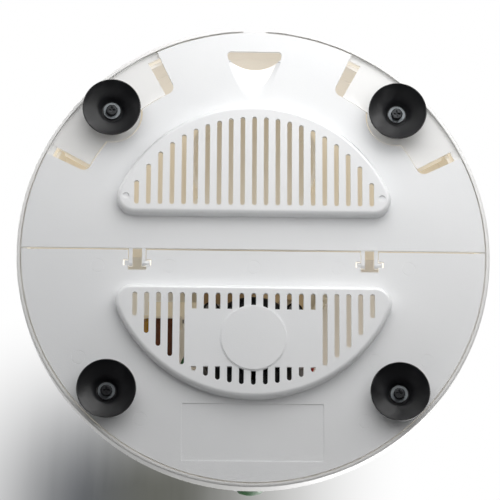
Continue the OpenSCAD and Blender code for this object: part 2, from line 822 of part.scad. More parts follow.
module motor_end_cap() {
    r = 26.6;
    low = 8.5;
    edge = 6;
    t = 2.4;
    color(black) translate([0, motor_y, 0]) difference() {
        union() {
            rotate_extrude() polygon(concat([[0, low]], arc(r - edge, low + edge, edge, -90, 0, 8),
                [[r, stator_z], [r - t, stator_z]],
                arc(r - edge, low + edge, edge - t, 0, -90, 8),
                [[9.6, low + t], [9.6, low + t + 4.8], [7 + fit, low + t + 4.8],
                 [7 + fit, low + t], [0, low + t]]));
            at([for (p = motor_bolts) [p[0], p[1] - motor_y]]) rod(4.6, stator_z - 3, stator_z);
        }
        at([for (p = motor_bolts) [p[0], p[1] - motor_y]]) rod(1.8 + 0.1, 10, 40);
        for (a = [30:60:330]) rotate([0, 0, a]) box([13, 19], [-1.6, 1.6], [low - 1, low + t + 1]);
        for (side = [-1, 1]) box([side * 25 - 4, side * 25 + 4],
            [-holder[1] - fit, holder[1] + fit], [holder[2] - fit, holder[3] + fit]);
    }
}

module motor_screws() {
    color(steel) at(motor_bolts) screw(stator_z - 3, 3.2, 2.2, 1.8, 30);
}

module motor_bearings() {
    color(brass) translate([0, motor_y, 0]) {
        tube(7, shaft_r + run, 10.9, 15.4);
        tube(7, shaft_r + run, frame_z + 0.2, frame_z + 4.8);
    }
}

module brush_holders() {
    color(brass) translate([0, motor_y, 0]) for (a = [0, 180]) rotate([0, 0, a]) difference() {
        box([9.4, holder[0]], [-holder[1], holder[1]], [holder[2], holder[3]]);
        box([9, holder[0] - 0.8], [-brush[1] - fit, brush[1] + fit],
            [brush[2] - fit, brush[3] + fit]);
    }
}

module carbon_brushes() {
    color(black) translate([0, motor_y, 0]) for (a = [0, 180]) rotate([0, 0, a]) difference() {
        box([7, brush[0]], [-brush[1], brush[1]], [brush[2], brush[3]]);
        rod(8 + run, 10, 30);
    }
}

module motor_shaft() {
    color(steel) translate([0, motor_y, 0]) rod(shaft_r, 11.1, gear_z + gear_t + 1);
}

module rotor_core() {
    slots = 12;
    color(steel) translate([0, motor_y, 0]) slab(stator_z, stator_z + stator_t) difference() {
        circle(r = 15.4);
        circle(r = shaft_r);
        for (i = [0:slots - 1]) rotate(i * 360 / slots) {
            translate([10, -0.8]) square([8, 1.6]);
            translate([11, 0]) circle(r = 1.7, $fn = 16);
        }
    }
}

module rotor_windings() {
    color(copper) translate([0, motor_y, 0]) {
        rotate_extrude() polygon([[5, stator_z], [5, 22.6], [10.5, 22.6], [12.6, 23.8],
            [12.6, stator_z]]);
        rotate_extrude() polygon([[5, 41], [5, 44], [11, 44], [12.8, 43], [12.8, 41]]);
    }
}

module commutator() {
    bars = 12;
    color(copper) translate([0, motor_y, 0]) slab(16.2, 22.2) difference() {
        circle(r = 8);
        circle(r = shaft_r);
        for (i = [0:bars - 1]) rotate(i * 360 / bars + 15) translate([7, -0.2]) square([2, 0.4]);
    }
}

module cooling_fan() {
    vanes = 9;
    color(black) translate([0, motor_y, 0]) {
        tube(5.5, shaft_r, 44.4, 49.2);
        tube(19, shaft_r, 44.4, 45.4);
        for (i = [0:vanes - 1]) rotate([0, 0, i * 360 / vanes])
            box([5, 18.4], [-0.6, 0.6], [45.3, 49.2]);
    }
}

// ---------- Drive ----------

module pinion() {
    color(steel) translate([0, motor_y, gear_z - 0.4]) difference() {
        linear_extrude(height = gear_t + 0.8) rotate(90 + 180 / pinion_teeth)
            teeth(pinion_teeth, 4);
        translate([0, 0, -1]) cylinder(r = shaft_r, h = 20);
    }
}

module drive_gear() {
    rim = gear_m * gear_teeth / 2 - 4.5;
    color(nylon) difference() {
        union() {
            slab(gear_z, gear_z + gear_t) rotate(-90) difference() {
                teeth(gear_teeth, 3);
                circle(r = rim);
            }
            slab(gear_z + 2.6, gear_z + 5.4) difference() {
                circle(r = rim + 1);
                for (a = [0:60:300]) rotate(a) translate([25, 0]) circle(r = 7);
            }
            rod(12, gear_z - 1.9, gear_z + gear_t + 0.9);
            for (a = [30:60:330]) rotate([0, 0, a])
                box([10, rim + 1], [-1, 1], [gear_z + 0.8, gear_z + gear_t - 0.8]);
        }
        rod(spindle_r, 40, 80);
    }
}

module spindle() {
    color(steel) difference() {
        union() {
            rod(spindle_r, 43, spindle_top - 1);
            translate([0, 0, spindle_top - 1]) cylinder(r1 = spindle_r, r2 = 3.2, h = 1);
        }
        tube(6, 3.4, 44, 44.9);
    }
}

module spindle_bushes() {
    color(brass) {
        tube(8, spindle_r + run, 46, 54);
        tube(8, spindle_r + run, 67, 77);
    }
}

module thrust_washers() {
    color(steel) {
        tube(10, spindle_r + run, 54, 55);
        tube(10, spindle_r + run, 66, 66.9);
    }
}

module shaft_seal() {
    color(black) rotate_extrude() polygon([[spindle_r + run, 77], [8, 77], [8, 79.8],
        [6, 79.8], [5, 78.4], [spindle_r + run, 79.2]]);
}

module spindle_circlip() {
    color(steel) slab(44.05, 44.85) difference() {
        circle(r = 6.2);
        circle(r = 3.45);
        translate([0, -1.6]) square([8, 3.2]);
    }
}

module drive_coupling() {
    color(steel) difference() {
        translate([0, 0, 81]) cylinder(r = 7.5, h = 11.5, $fn = 6);
        rod(spindle_r, 60, 100);
    }
}

// ---------- Drum and turntable ----------

module turntable() {
    top = 86;
    t = 2.4;
    hump_r = 12;
    color(nylon) difference() {
        union() {
            rotate_extrude($fn = 120) polygon(concat([[0, top - t], [table_r - 9, top - t]],
                arc(table_r - 9, top + 6.6, 9, -90, -35, 6),
                arc(table_r - 9, top + 6.6, 6.6, -35, -90, 6), [[0, top]]));
            rod(14, top - t - 2.4, top);
            translate([0, 0, top - 1]) rotate_extrude() polygon(concat([[0, 0], [20, 0]],
                arc(26, 9, 9.6, 250, 200, 5), arc(8, 12, 7, 20, 90, 6), [[0, 19.4]]));
            intersection() {
                for (a = [90, 210, 330]) rotate([0, 0, a]) translate([0, 0, top - 6.4]) {
                    rotate([0, 90, 0]) rod(hump_r, 34, 66);
                    translate([34, 0, 0]) sphere(r = hump_r);
                    translate([66, 0, 0]) sphere(r = hump_r);
                }
                rod(table_r - 6, top - 1, top + 12);
            }
        }
        translate([0, 0, 70]) cylinder(r = 7.6, h = spindle_top - 70, $fn = 6);
    }
}

module blade_window(a) {
    rotate([0, 0, a]) box([drum_r - 6, drum_r + 3], [-5, 1], [96, 130]);
}

module peeling_drum() {
    inner = drum_r - 2.2;
    low = well_z + 2;
    color([0.80, 0.84, 0.87]) difference() {
        union() {
            rotate_extrude($fn = 180) polygon(concat(
                [[17, low + 4.8], [17, low], [60, low], [60, well_z], [63, well_z], [63, low]],
                arc(drum_r - 4, low + 4, 4, -90, 0, 6),
                [[drum_r, drum_z - 3]], arc(drum_r - 0.7, drum_z - 1.3, 1.3, -40, 90, 5),
                arc(inner, drum_z - 1.3, 1.3, 90, 200, 4), [[inner, drum_z - 4]],
                arc(inner - 3, low + 2.4 + 3, 3, 0, -90, 5), [[19, low + 2.4], [19, low + 4.8]]));
            for (a = [30, 150, 270]) rotate([0, 0, a])
                box([drum_r - 1, well_r - 0.6], [-4, 4], [96, 104]);
        }
        for (i = [0:blades - 1]) blade_window(90 + i * 360 / blades);
        for (a = [0, 180]) rotate([0, 0, a]) translate([0, 0, 134]) rotate([90, 0, 90])
            translate([0, 0, drum_r - 8]) linear_extrude(height = 14) rounded(22, 8, 3.9);
    }
}

// One blade lies on the drum's inner wall; its edge stands over the window in the wall
module blade(a) {
    inner = drum_r - 2.2;
    rotate([0, 0, a]) {
        slab(90, 136) difference() {
            sector(inner - 0.8, inner - fit, -7.5, 7.5);
            translate([inner - 3, -4]) square([4, 4]);
        }
        slab(90, 95) sector(inner - 0.8, inner - fit, -7.5, 7.5);
        slab(131, 136) sector(inner - 0.8, inner - fit, -7.5, 7.5);
        translate([inner - 0.75, 0.2, 96]) rotate([0, 0, 118]) cube([4.4, 0.6, 34]);
    }
}

module peeling_blades() {
    color(steel) difference() {
        for (i = [0:blades - 1]) blade(90 + i * 360 / blades);
        for (i = [0:blades - 1], z = [92.5, 133.5], s = [-5, 5])
            rotate([0, 0, 90 + i * 360 / blades + s]) translate([0, 0, z]) rotate([0, 90, 0])
                rod(1.3, drum_r - 8, drum_r);
    }
}

module blade_rivets() {
    color(steel) for (i = [0:blades - 1], z = [92.5, 133.5], s = [-5, 5])
        rotate([0, 0, 90 + i * 360 / blades + s]) translate([0, 0, z]) rotate([0, 90, 0]) {
            rod(1.25, drum_r - 4, drum_r - 2.2);
            translate([0, 0, drum_r - 4]) rotate_extrude() polygon(concat([[0, 0.9]],
                [[2.2, 0.9]], arc(0.6, 0.9, 1.6, 0, -80, 4), [[0, -0.7]]));
        }
}

// ---------- Lid ----------

// Outlines of the dome's wall, of its shoulder and of its crown, inset by t
function shoulder_line(t) = arc(dome_r - 4.6 - shoulder_r, dome_z - 4.6 - shoulder_r,
    shoulder_r - t, 2, 80, 14);
function wall_line(t) = [[dome_r - t, dome_base], [dome_r - 0.4 - t, dome_base + 12],
    shoulder_line(t)[0]];
function crown_line(t) = let (edge = shoulder_line(t), last = edge[len(edge) - 1])
    concat([last], [for (i = [1:8]) let (s = 1 - i / 8) [last[0] * s, dome_z - t - 4.9 * s * s]]);

// Ring of clear plastic between an outer and an inner outline
module clear_ring(outer, inner) {
    color(clear) rotate_extrude($fn = 180) polygon(concat(outer,
        [for (i = [len(inner) - 1:-1:0]) inner[i]]));
}

module lid_wall() {
    clear_ring(wall_line(0), wall_line(dome_t));
}

module lid_shoulder() {
    clear_ring(shoulder_line(0), shoulder_line(dome_t));
}

module lid_dome() {
    color(clear) difference() {
        clear_ring(crown_line(0), crown_line(dome_t));
        rod(2.2, 150, 230);
    }
}

module lid_arm() {
    translate([12, 0, 0]) rotate([90, 0, 90]) difference() {
        linear_extrude(height = 11.8) {
            translate([lid_axis_y, lid_axis_z]) circle(r = knuckle_r, $fn = 48);
            polygon([[102.6, collar_z + 0.9], [lid_axis_y - 3, collar_z + 0.9],
                [lid_axis_y + 1, lid_axis_z + 5.4], [102.6, collar_z + 7]]);
        }
        translate([lid_axis_y, lid_axis_z, -1]) cylinder(r = 2 + run, h = 20);
    }
}

module lid_collar() {
    inner = 98.6;
    seat = dome_base - 0.8;
    height = collar_z + 7.1;
    color(white) {
        rotate_extrude($fn = 180) polygon(concat(
            [[inner, collar_z], [collar_r - 1, collar_z], [collar_r, collar_z + 1]],
            [[collar_r, height - 1.2]], arc(collar_r - 0.9, height - 0.9, 0.9, 0, 90, 4),
            [[dome_r + 0.2, height], [dome_r + 0.2, seat], [inner, seat]]));
        both_sides() lid_arm();
        difference() {
            translate([0, -96, 0]) rod(14.5, collar_z + 0.6, collar_z + 4);
            rod(collar_r - 0.8, 100, 130);
            translate([0, -108.5, collar_z - 6]) rotate([0, 90, 0]) rod(8, -20, 20);
        }
    }
}

module lid_seal() {
    color(black) tube(dome_r - 0.1, dome_r - dome_t, dome_base - 0.8, dome_base);
}

module lid_knob() {
    base = dome_z;
    color(white) difference() {
        translate([0, 0, base]) rotate_extrude() polygon(concat([[0, -0.6], [12, -0.6], [13, 0.6]],
            arc(15, 5, 4.6, 230, 130, 6), arc(knob_r - 3.5, 13.3, 3.5, -60, 40, 6),
            [[12, 17.6], [6, 18.4], [0, 18.6]]));
        rotate_extrude() polygon([[0, 190], [14, 190], [14, base - 0.18], [7, base - 0.05],
            [0, base + 0.02]]);
        rod(2.1 + fit, 190, base + 10);
    }
}

module knob_screw() {
    color(steel) screw(dome_z - dome_t - 0.02, 3.6, 2.4, 2.1, 11.5);
}

module lid_hinge_pins() {
    color(steel) both_sides() translate([12.6, lid_axis_y, lid_axis_z]) rotate([0, 90, 0])
        rod(2, 0, 20.2);
}

// ---------- Wiring ----------

module terminal_block() {
    hole_z = 4.5;
    screw_z = 6;
    color(nylon) translate([block[0], block[1], tray_z]) difference() {
        translate([-block_size[0] / 2, -block_size[1] / 2, 0]) cube(block_size);
        for (y = block_holes) translate([0, y, 0]) {
            translate([0, 0, screw_z]) cylinder(r = 2.4, h = 10);
            translate([-9, 0, hole_z]) rotate([0, 90, 0]) cylinder(r = 1.8, h = 18);
        }
    }
    color(brass) translate([block[0], block[1], tray_z]) for (y = block_holes)
        translate([0, y, screw_z]) cylinder(r = 2.3, h = 4);
}

module suppressor_capacitor() {
    color(amber) translate([8, block[1], tray_z]) slab(0, 15) rounded(9, 26, 1);
}

// Points of a smooth curve through the given ones
function smooth(p, n) = [for (i = [0:len(p) - 2], k = [0:n - 1]) let (
    t = k / n, a = p[max(i - 1, 0)], b = p[i], c = p[i + 1], d = p[min(i + 2, len(p) - 1)])
    0.5 * (2 * b + (c - a) * t + (2 * a - 5 * b + 4 * c - d) * t * t
        + (3 * b - a - 3 * c + d) * t * t * t)];

module motor_leads() {
    lead_r = 1.1;
    color([0.75, 0.15, 0.08]) swept(smooth(red_lead, 4), lead_r, 8, [1, -1, 1.4]);
    color([0.10, 0.45, 0.20]) swept(smooth(green_lead, 4), lead_r, 8, [1, -1, 1.4]);
}

housing();
base_ring();
drum_well();
mounting_posts();
front_base_plate();
cord_door();
cord_tray();
cord_spool();
cord_gland();
rubber_feet();
foot_washers();
foot_screws();
case_screws();
power_button();
button_spring();
power_switch();
interlock_plunger();
interlock_spring();
interlock_switch();
gearbox_plate();
motor_stator();
coil_bobbin();
field_coil();
coil_tape();
motor_end_cap();
motor_screws();
motor_bearings();
brush_holders();
carbon_brushes();
motor_shaft();
rotor_core();
rotor_windings();
commutator();
cooling_fan();
pinion();
drive_gear();
spindle();
spindle_bushes();
thrust_washers();
shaft_seal();
spindle_circlip();
drive_coupling();
turntable();
peeling_drum();
peeling_blades();
blade_rivets();
lid_dome();
lid_shoulder();
lid_wall();
lid_collar();
lid_seal();
lid_knob();
knob_screw();
lid_hinge_pins();
terminal_block();
suppressor_capacitor();
motor_leads();
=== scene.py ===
"""Dresses the electric potato peeler: smooth mouldings, finishes, light and camera.

Lengths are metres in the frame's own axes: +Z up, -Y towards the power button, the table at Z = 0.
"""

import json
import logging
import math
from dataclasses import dataclass
from enum import Enum
from functools import cache
from typing import Iterable, Protocol, Sequence

import bpy
from mathutils import Matrix, Vector

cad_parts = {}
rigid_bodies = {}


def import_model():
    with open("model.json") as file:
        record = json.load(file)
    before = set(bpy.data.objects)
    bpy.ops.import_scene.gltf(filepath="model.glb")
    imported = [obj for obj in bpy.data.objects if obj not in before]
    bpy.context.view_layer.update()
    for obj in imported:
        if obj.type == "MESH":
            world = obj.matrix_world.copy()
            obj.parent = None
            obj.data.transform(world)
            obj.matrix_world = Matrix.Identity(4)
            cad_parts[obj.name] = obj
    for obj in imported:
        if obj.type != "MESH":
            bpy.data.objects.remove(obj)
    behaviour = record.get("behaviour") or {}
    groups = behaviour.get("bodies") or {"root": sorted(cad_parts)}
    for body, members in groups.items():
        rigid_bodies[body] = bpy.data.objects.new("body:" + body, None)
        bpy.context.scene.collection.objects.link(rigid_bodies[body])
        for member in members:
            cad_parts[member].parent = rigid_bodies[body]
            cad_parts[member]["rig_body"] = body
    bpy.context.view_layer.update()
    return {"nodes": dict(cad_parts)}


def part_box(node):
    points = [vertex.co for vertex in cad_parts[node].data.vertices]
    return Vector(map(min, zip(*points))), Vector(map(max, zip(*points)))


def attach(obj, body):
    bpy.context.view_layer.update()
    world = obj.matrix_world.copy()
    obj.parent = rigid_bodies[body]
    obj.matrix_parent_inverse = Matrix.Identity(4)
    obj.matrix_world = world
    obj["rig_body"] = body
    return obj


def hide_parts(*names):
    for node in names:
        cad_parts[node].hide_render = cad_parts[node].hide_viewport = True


log = logging.getLogger("peeler")
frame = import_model()

MM = 0.001
Colour = tuple[float, float, float]
Point = tuple[float, float, float]
Span = tuple[float, float]  # two ends of a soft step or of a range
Ring = tuple[float, float]  # radius and height of one ring of a turned piece

MERGE = 0.002 * MM  # corners nearer than this are one
FLAT = math.radians(0.4)  # faces that differ by less are one
SHARP = math.radians(40)  # edges sharper than this get rounded
CREASE = 32  # edges sharper than this many degrees stay sharp in the shading
FACE_WEIGHT = 60  # how much a large face counts for its corners' normals


# ---------- Shader maths ----------


class Value:
    """A number or vector that flows through a material; operators add Math nodes."""

    def __init__(self, graph: "Graph", socket: bpy.types.NodeSocket) -> None:
        """Wraps an output socket of a node in graph."""
        self.graph = graph
        self.socket = socket

    def _math(self, operation: str, *others: "Value | float", first: bool = True) -> "Value":
        """Adds a Math node.

        Args:
            operation: the node's operation, such as "MULTIPLY".
            others: the other operands.
            first: whether this value is the first operand.

        Returns:
            The node's result.
        """
        operands = [self, *others] if first else [*others, self]
        return self.graph.node("ShaderNodeMath", {"operation": operation}, dict(enumerate(operands)))

    def __add__(self, other: "Value | float") -> "Value":
        """Sum."""
        return self._math("ADD", other)

    __radd__ = __add__

    def __sub__(self, other: "Value | float") -> "Value":
        """Difference."""
        return self._math("SUBTRACT", other)

    def __rsub__(self, other: float) -> "Value":
        """A number minus this value."""
        return self._math("SUBTRACT", other, first=False)

    def __mul__(self, other: "Value | float") -> "Value":
        """Product."""
        return self._math("MULTIPLY", other)

    __rmul__ = __mul__

    def __pow__(self, power: float) -> "Value":
        """Power."""
        return self._math("POWER", power)

    def sine(self) -> "Value":
        """Sine of this value in radians."""
        return self._math("SINE")

    def ramp(self, low: float, high: float) -> "Value":
        """0 at low, 1 at high and smooth between them."""
        return self.graph.node(
            "ShaderNodeMapRange",
            {"interpolation_type": "SMOOTHSTEP"},
            {"Value": self, "From Min": low, "From Max": high},
        )


class Graph:
    """The nodes of one material, from its coordinates to its output."""

    def __init__(self, name: str) -> None:
        """Starts an empty material of that name."""
        self.material = bpy.data.materials.new(name)
        self.material.use_nodes = True
        self.tree = self.material.node_tree
        self.tree.nodes.clear()
        self.place = self.node("ShaderNodeTexCoord", output="Object")

    def node(
        self,
        kind: str,
        settings: dict[str, object] | None = None,
        inputs: dict[str | int, object] | None = None,
        output: str | int = 0,
    ) -> Value:
        """Adds a node.

        Args:
            kind: the node's type.
            settings: its properties, set before its sockets.
            inputs: values or links of its sockets.
            output: the output socket that is returned.

        Returns:
            That output.
        """
        made = self.tree.nodes.new(kind)
        for key, value in (settings or {}).items():
            setattr(made, key, value)
        for key, value in (inputs or {}).items():
            if isinstance(value, Value):
                self.tree.links.new(value.socket, made.inputs[key])
            else:
                made.inputs[key].default_value = value
        return Value(self, made.outputs[output])

    def noise(self, scale: float, detail: float = 2, stretch: Point = (1, 1, 1)) -> Value:
        """Noise from 0 to 1 over the object.

        Args:
            scale: features per metre.
            detail: octaves.
            stretch: factors on the three coordinates, for a grain that runs one way.

        Returns:
            The noise.
        """
        place = self.node("ShaderNodeMapping", inputs={"Vector": self.place, "Scale": stretch})
        return self.node(
            "ShaderNodeTexNoise", inputs={"Vector": place, "Scale": scale, "Detail": detail}
        )

    def axis(self, name: str) -> Value:
        """One coordinate, in metres."""
        return self.node("ShaderNodeSeparateXYZ", inputs={0: self.place}, output=name)

    def from_axis(self) -> Value:
        """Distance from the Z axis, in metres."""
        x, y = self.axis("X"), self.axis("Y")
        return (x * x + y * y) ** 0.5

    def blend(self, share: Value | float, a: Value | Colour, b: Value | Colour) -> Value:
        """Turns one colour into another.

        Args:
            share: how much of b shows, from 0 to 1.
            a: the first colour.
            b: the second colour.

        Returns:
            The mixed colour.
        """
        colours = {6: a, 7: b}
        inputs = {key: (*value, 1) if isinstance(value, tuple) else value for key, value in colours.items()}
        return self.node("ShaderNodeMix", {"data_type": "RGBA"}, {0: share, **inputs}, output=2)

    def bump(self, height: Value, distance: float, strength: float = 1) -> Value:
        """Normal that follows a height from 0 to 1, raised by distance in metres."""
        return self.node(
            "ShaderNodeBump", inputs={"Height": height, "Distance": distance, "Strength": strength}
        )

    def surface(self, **sockets: object) -> bpy.types.Material:
        """Ends the material in a Principled shader.

        Args:
            sockets: its sockets' values, with _ for each space in a socket's name.

        Returns:
            The finished material.
        """
        inputs = {}
        for key, value in sockets.items():
            inputs[key.replace("_", " ")] = (*value, 1) if isinstance(value, tuple) else value
        shader = self.node("ShaderNodeBsdfPrincipled", inputs=inputs)
        return self.end(shader)

    def end(self, shader: Value) -> bpy.types.Material:
        """Links a shader to the output.

        Args:
            shader: the last shader.

        Returns:
            The finished material.
        """
        output = self.tree.nodes.new("ShaderNodeOutputMaterial")
        self.tree.links.new(shader.socket, output.inputs["Surface"])
        return self.material


# ---------- Finishes ----------


@dataclass(frozen=True)
class Pattern:
    """Uneven patches over a surface."""

    scale: float  # features per metre
    detail: float = 2  # octaves of the noise
    fade: Span | None = None  # noise at which a patch starts and at which it is full
    stretch: Point = (1, 1, 1)

    def over(self, g: Graph) -> Value:
        """Lays the pattern over a material.

        Args:
            g: the material.

        Returns:
            1 in the patches and 0 between them, or the bare noise where nothing fades.
        """
        noise = g.noise(self.scale, self.detail, self.stretch)
        return noise.ramp(*self.fade) if self.fade else noise


class Finish(Protocol):
    """A surface that can be made into a material."""

    name: str

    def material(self) -> bpy.types.Material:
        """Builds the material."""
        ...


@dataclass(frozen=True)
class MouldedPlastic:
    """Injection-moulded plastic with faint flow clouds and a fine spark-eroded grain."""

    name: str
    colour: Colour
    cloud: Colour
    roughness: float = 0.34
    clouds: Pattern = Pattern(14, 3, (0.35, 0.7))
    cloud_share: float = 0.6
    scuffs: Pattern = Pattern(60, 4, (0.55, 0.8))
    scuff_share: float = 0.12
    scuff_roughness: float = 0.1
    grain: Pattern = Pattern(1400)
    grain_depth: float = 0.03 * MM
    grain_roughness: float = 0.05
    specular: float = 0.45
    # glow, glow_colour and glow_dim are painted light: an emission that stands in for daylight coming
    # through thin walls, glow_colour where inside() gives 1 and glow_dim where it gives 0.
    glow: float = 0.0
    glow_colour: Colour = (1.0, 0.89, 0.70)
    glow_dim: Colour = (0, 0, 0)

    def material(self) -> bpy.types.Material:
        """Builds the material.

        Returns:
            The material.
        """
        g = Graph(self.name)
        cloud, grain, scuff = self.clouds.over(g), self.grain.over(g), self.scuffs.over(g)
        shade = cloud * self.cloud_share + scuff * self.scuff_share
        return g.surface(
            Base_Color=g.blend(shade, self.colour, self.cloud),
            Roughness=self.roughness + scuff * self.scuff_roughness + grain * self.grain_roughness,
            Normal=g.bump(grain, self.grain_depth),
            Specular_IOR_Level=self.specular,
            # Painted glow: emission in place of the light that comes through the thin walls.
            Emission_Color=g.blend(self.inside(g), self.glow_dim, self.glow_colour),
            Emission_Strength=self.glow,
        )

    def inside(self, g: Graph) -> Value | float:
        """Where the painted glow shows, which stands in for daylight that the thin walls let through."""
        return 1.0


@dataclass(frozen=True)
class ShellPlastic(MouldedPlastic):
    """White plastic of the casing, whose inner faces carry a painted glow for the light that comes through
    its walls.
    """

    # Bounds of the painted glow on the casing's inner faces.
    floor: float = 12.8 * MM
    ceiling: float = 73 * MM
    skirt: float = 123.6 * MM
    lean: float = math.tan(math.radians(12.1))
    wall: float = 129.2 * MM  # radius of the middle of the wall, drawn on down to the table
    edge: float = 0.2 * MM  # how softly the glow starts at floor and skirt
    wall_edge: float = 0.3 * MM
    ceiling_edge: float = 0.5 * MM

    def inside(self, g: Graph) -> Value:
        """Masks the faces between base plate and drum well, which carry the painted glow.

        Args:
            g: the material.

        Returns:
            1 inside the casing, 0 outside.
        """
        radius, height = g.from_axis(), g.axis("Z")
        above = height.ramp(self.floor - self.edge, self.floor)
        below = 1 - height.ramp(self.ceiling, self.ceiling + self.ceiling_edge)
        within = 1 - radius.ramp(self.skirt - self.edge, self.skirt)
        behind = 1 - (radius + height * self.lean).ramp(self.wall - self.wall_edge, self.wall)
        return above * below * within * behind


@dataclass(frozen=True)
class TrayPlastic(MouldedPlastic):
    """Cream plastic of the cord tray, with a painted glow that is lighter towards the casing's rear wall.
    """

    near: float = 80 * MM
    far: float = 100 * MM

    def inside(self, g: Graph) -> Value:
        """Share of the brighter painted glow: 0 over the middle of the tray, 1 at its rear wall."""
        return g.axis("Y").ramp(self.near, self.far)


@dataclass(frozen=True)
class Rubber:
    """Soft black rubber with a bloom of dust."""

    name: str
    colour: Colour = (0.0065, 0.0065, 0.0080)
    dust: Colour = (0.021, 0.022, 0.026)
    roughness: float = 0.30
    specular: float = 0.7
    bloom: Pattern = Pattern(90, 4, (0.45, 0.75))
    bloom_share: float = 0.35
    bloom_roughness: float = 0.14
    specks: Pattern = Pattern(1100, 2, (0.66, 0.74))
    speck_share: float = 0.4
    grain: Pattern = Pattern(700, 3)
    grain_depth: float = 0.03 * MM

    def material(self) -> bpy.types.Material:
        """Builds the material.

        Returns:
            The material.
        """
        g = Graph(self.name)
        bloom, specks = self.bloom.over(g), self.specks.over(g)
        dusty = bloom * self.bloom_share + specks * self.speck_share
        return g.surface(
            Base_Color=g.blend(dusty, self.colour, self.dust),
            Roughness=self.roughness + bloom * self.bloom_roughness,
            Normal=g.bump(self.grain.over(g), self.grain_depth),
            Specular_IOR_Level=self.specular,
        )


@dataclass(frozen=True)
class ClearPlastic:
    """Clear moulded plastic that shows what is behind it, and more of itself at its edges."""

    name: str
    tint: Colour = (0.82, 0.88, 0.90)
    edge_tint: Colour = (0.93, 0.95, 0.96)
    edge_reach: float = 0.28
    alpha: float = 0.16
    edge_alpha: float = 0.42
    roughness: float = 0.05
    haze: Pattern = Pattern(30, 3, (0.4, 0.8))
    haze_roughness: float = 0.06
    haze_alpha: float = 0.02
    ripple: Pattern = Pattern(24)
    ripple_depth: float = 0.2 * MM
    ripple_strength: float = 0.4

    def material(self) -> bpy.types.Material:
        """Builds the material.

        Returns:
            The material.
        """
        g = Graph(self.name)
        edge = g.node("ShaderNodeLayerWeight", inputs={"Blend": self.edge_reach}, output="Facing")
        haze = self.haze.over(g)
        return g.surface(
            Base_Color=g.blend(edge, self.tint, self.edge_tint),
            Roughness=self.roughness + haze * self.haze_roughness,
            Alpha=self.alpha + edge * self.edge_alpha + haze * self.haze_alpha,
            Normal=g.bump(self.ripple.over(g), self.ripple_depth, self.ripple_strength),
        )


@dataclass(frozen=True)
class DrawnMetal:
    """Metal with a fine grain that runs one way, and darker stains."""

    name: str
    colour: Colour
    stain: Colour
    roughness: float = 0.28
    stretch: Point = (1, 1, 12)
    metal: float = 1.0
    # glow is painted light: an emission for light that nearby glowing walls throw on the metal.
    glow: Colour = (0, 0, 0)
    grain_scale: float = 700
    grain_depth: float = 0.02 * MM
    grain_share: float = 0.15
    grain_roughness: float = 0.16
    spots: Pattern = Pattern(120, 3, (0.5, 0.85))
    spot_share: float = 0.5
    spot_roughness: float = 0.08

    def material(self) -> bpy.types.Material:
        """Builds the material.

        Returns:
            The material.
        """
        g = Graph(self.name)
        grain = Pattern(self.grain_scale, 3, stretch=self.stretch).over(g)
        spots = self.spots.over(g)
        dark = spots * self.spot_share + grain * self.grain_share
        return g.surface(
            Base_Color=g.blend(dark, self.colour, self.stain),
            Metallic=self.metal,
            Roughness=self.roughness + grain * self.grain_roughness + spots * self.spot_roughness,
            Normal=g.bump(grain, self.grain_depth),
            # Painted light: a glow in place of light thrown on the metal from nearby walls.
            Emission_Color=self.glow,
            Emission_Strength=1.0 if any(self.glow) else 0.0,
        )


@dataclass(frozen=True)
class LaminatedSteel:
    """A stack of thin steel sheets along Z, with dark joints and darker patches of rust."""

    name: str
    sheet: float = 0.5 * MM
    gap: Span = (0.85, 0.98)  # heights of a sheet's wave between which the gap starts
    gap_share: float = 0.8
    gap_depth: float = 0.08 * MM
    colour: Colour = (0.36, 0.36, 0.37)
    joint: Colour = (0.10, 0.10, 0.11)
    roughness: float = 0.42
    metal: float = 0.9
    rust: Pattern = Pattern(240, 4, (0.55, 0.8))
    rust_share: float = 0.2
    rust_roughness: float = 0.2

    def material(self) -> bpy.types.Material:
        """Builds the material.

        Returns:
            The material.
        """
        g = Graph(self.name)
        wave = (g.axis("Z") * (2 * math.pi / self.sheet)).sine() * 0.5 + 0.5
        gap = wave.ramp(*self.gap)
        rust = self.rust.over(g)
        dark = gap * self.gap_share + rust * self.rust_share
        return g.surface(
            Base_Color=g.blend(dark, self.colour, self.joint),
            Metallic=self.metal,
            Roughness=self.roughness + rust * self.rust_roughness,
            Normal=g.bump(1 - gap, self.gap_depth),
        )


@dataclass(frozen=True)
class WoundWire:
    """Enamelled wire laid turn beside turn along one axis, with painted shade in the grooves between the
    turns.
    """

    name: str
    along: str
    pitch: float = 0.62 * MM
    depth: float = 0.2 * MM
    colour: Colour = (0.26, 0.085, 0.030)
    # shade is painted shade, the colour in the grooves between turns
    shade: Colour = (0.022, 0.009, 0.005)
    roughness: float = 0.34
    gap_roughness: float = 0.2
    metal: float = 0.6
    varnish: float = 0.15
    waver: Pattern = Pattern(40)
    waver_turns: float = 2.2  # how many turns the wire wanders
    char: Pattern = Pattern(190, 3, (0.38, 0.66), (1, 0.3, 1))
    char_share: float = 0.85

    def material(self) -> bpy.types.Material:
        """Builds the material.

        Returns:
            The material.
        """
        g = Graph(self.name)
        waver = self.waver.over(g) * (self.pitch * self.waver_turns)
        turns = ((g.axis(self.along) + waver) * (2 * math.pi / self.pitch)).sine() * 0.5 + 0.5
        # The wire's colour on the turns, painted shade between them, darkened at random by char.
        bright = turns * (1 - self.char.over(g) * self.char_share)
        return g.surface(
            Base_Color=g.blend(bright, self.shade, self.colour),
            Metallic=self.metal,
            Roughness=self.roughness + (1 - turns) * self.gap_roughness,
            Normal=g.bump(turns, self.depth),
            Coat_Weight=self.varnish * turns,
        )


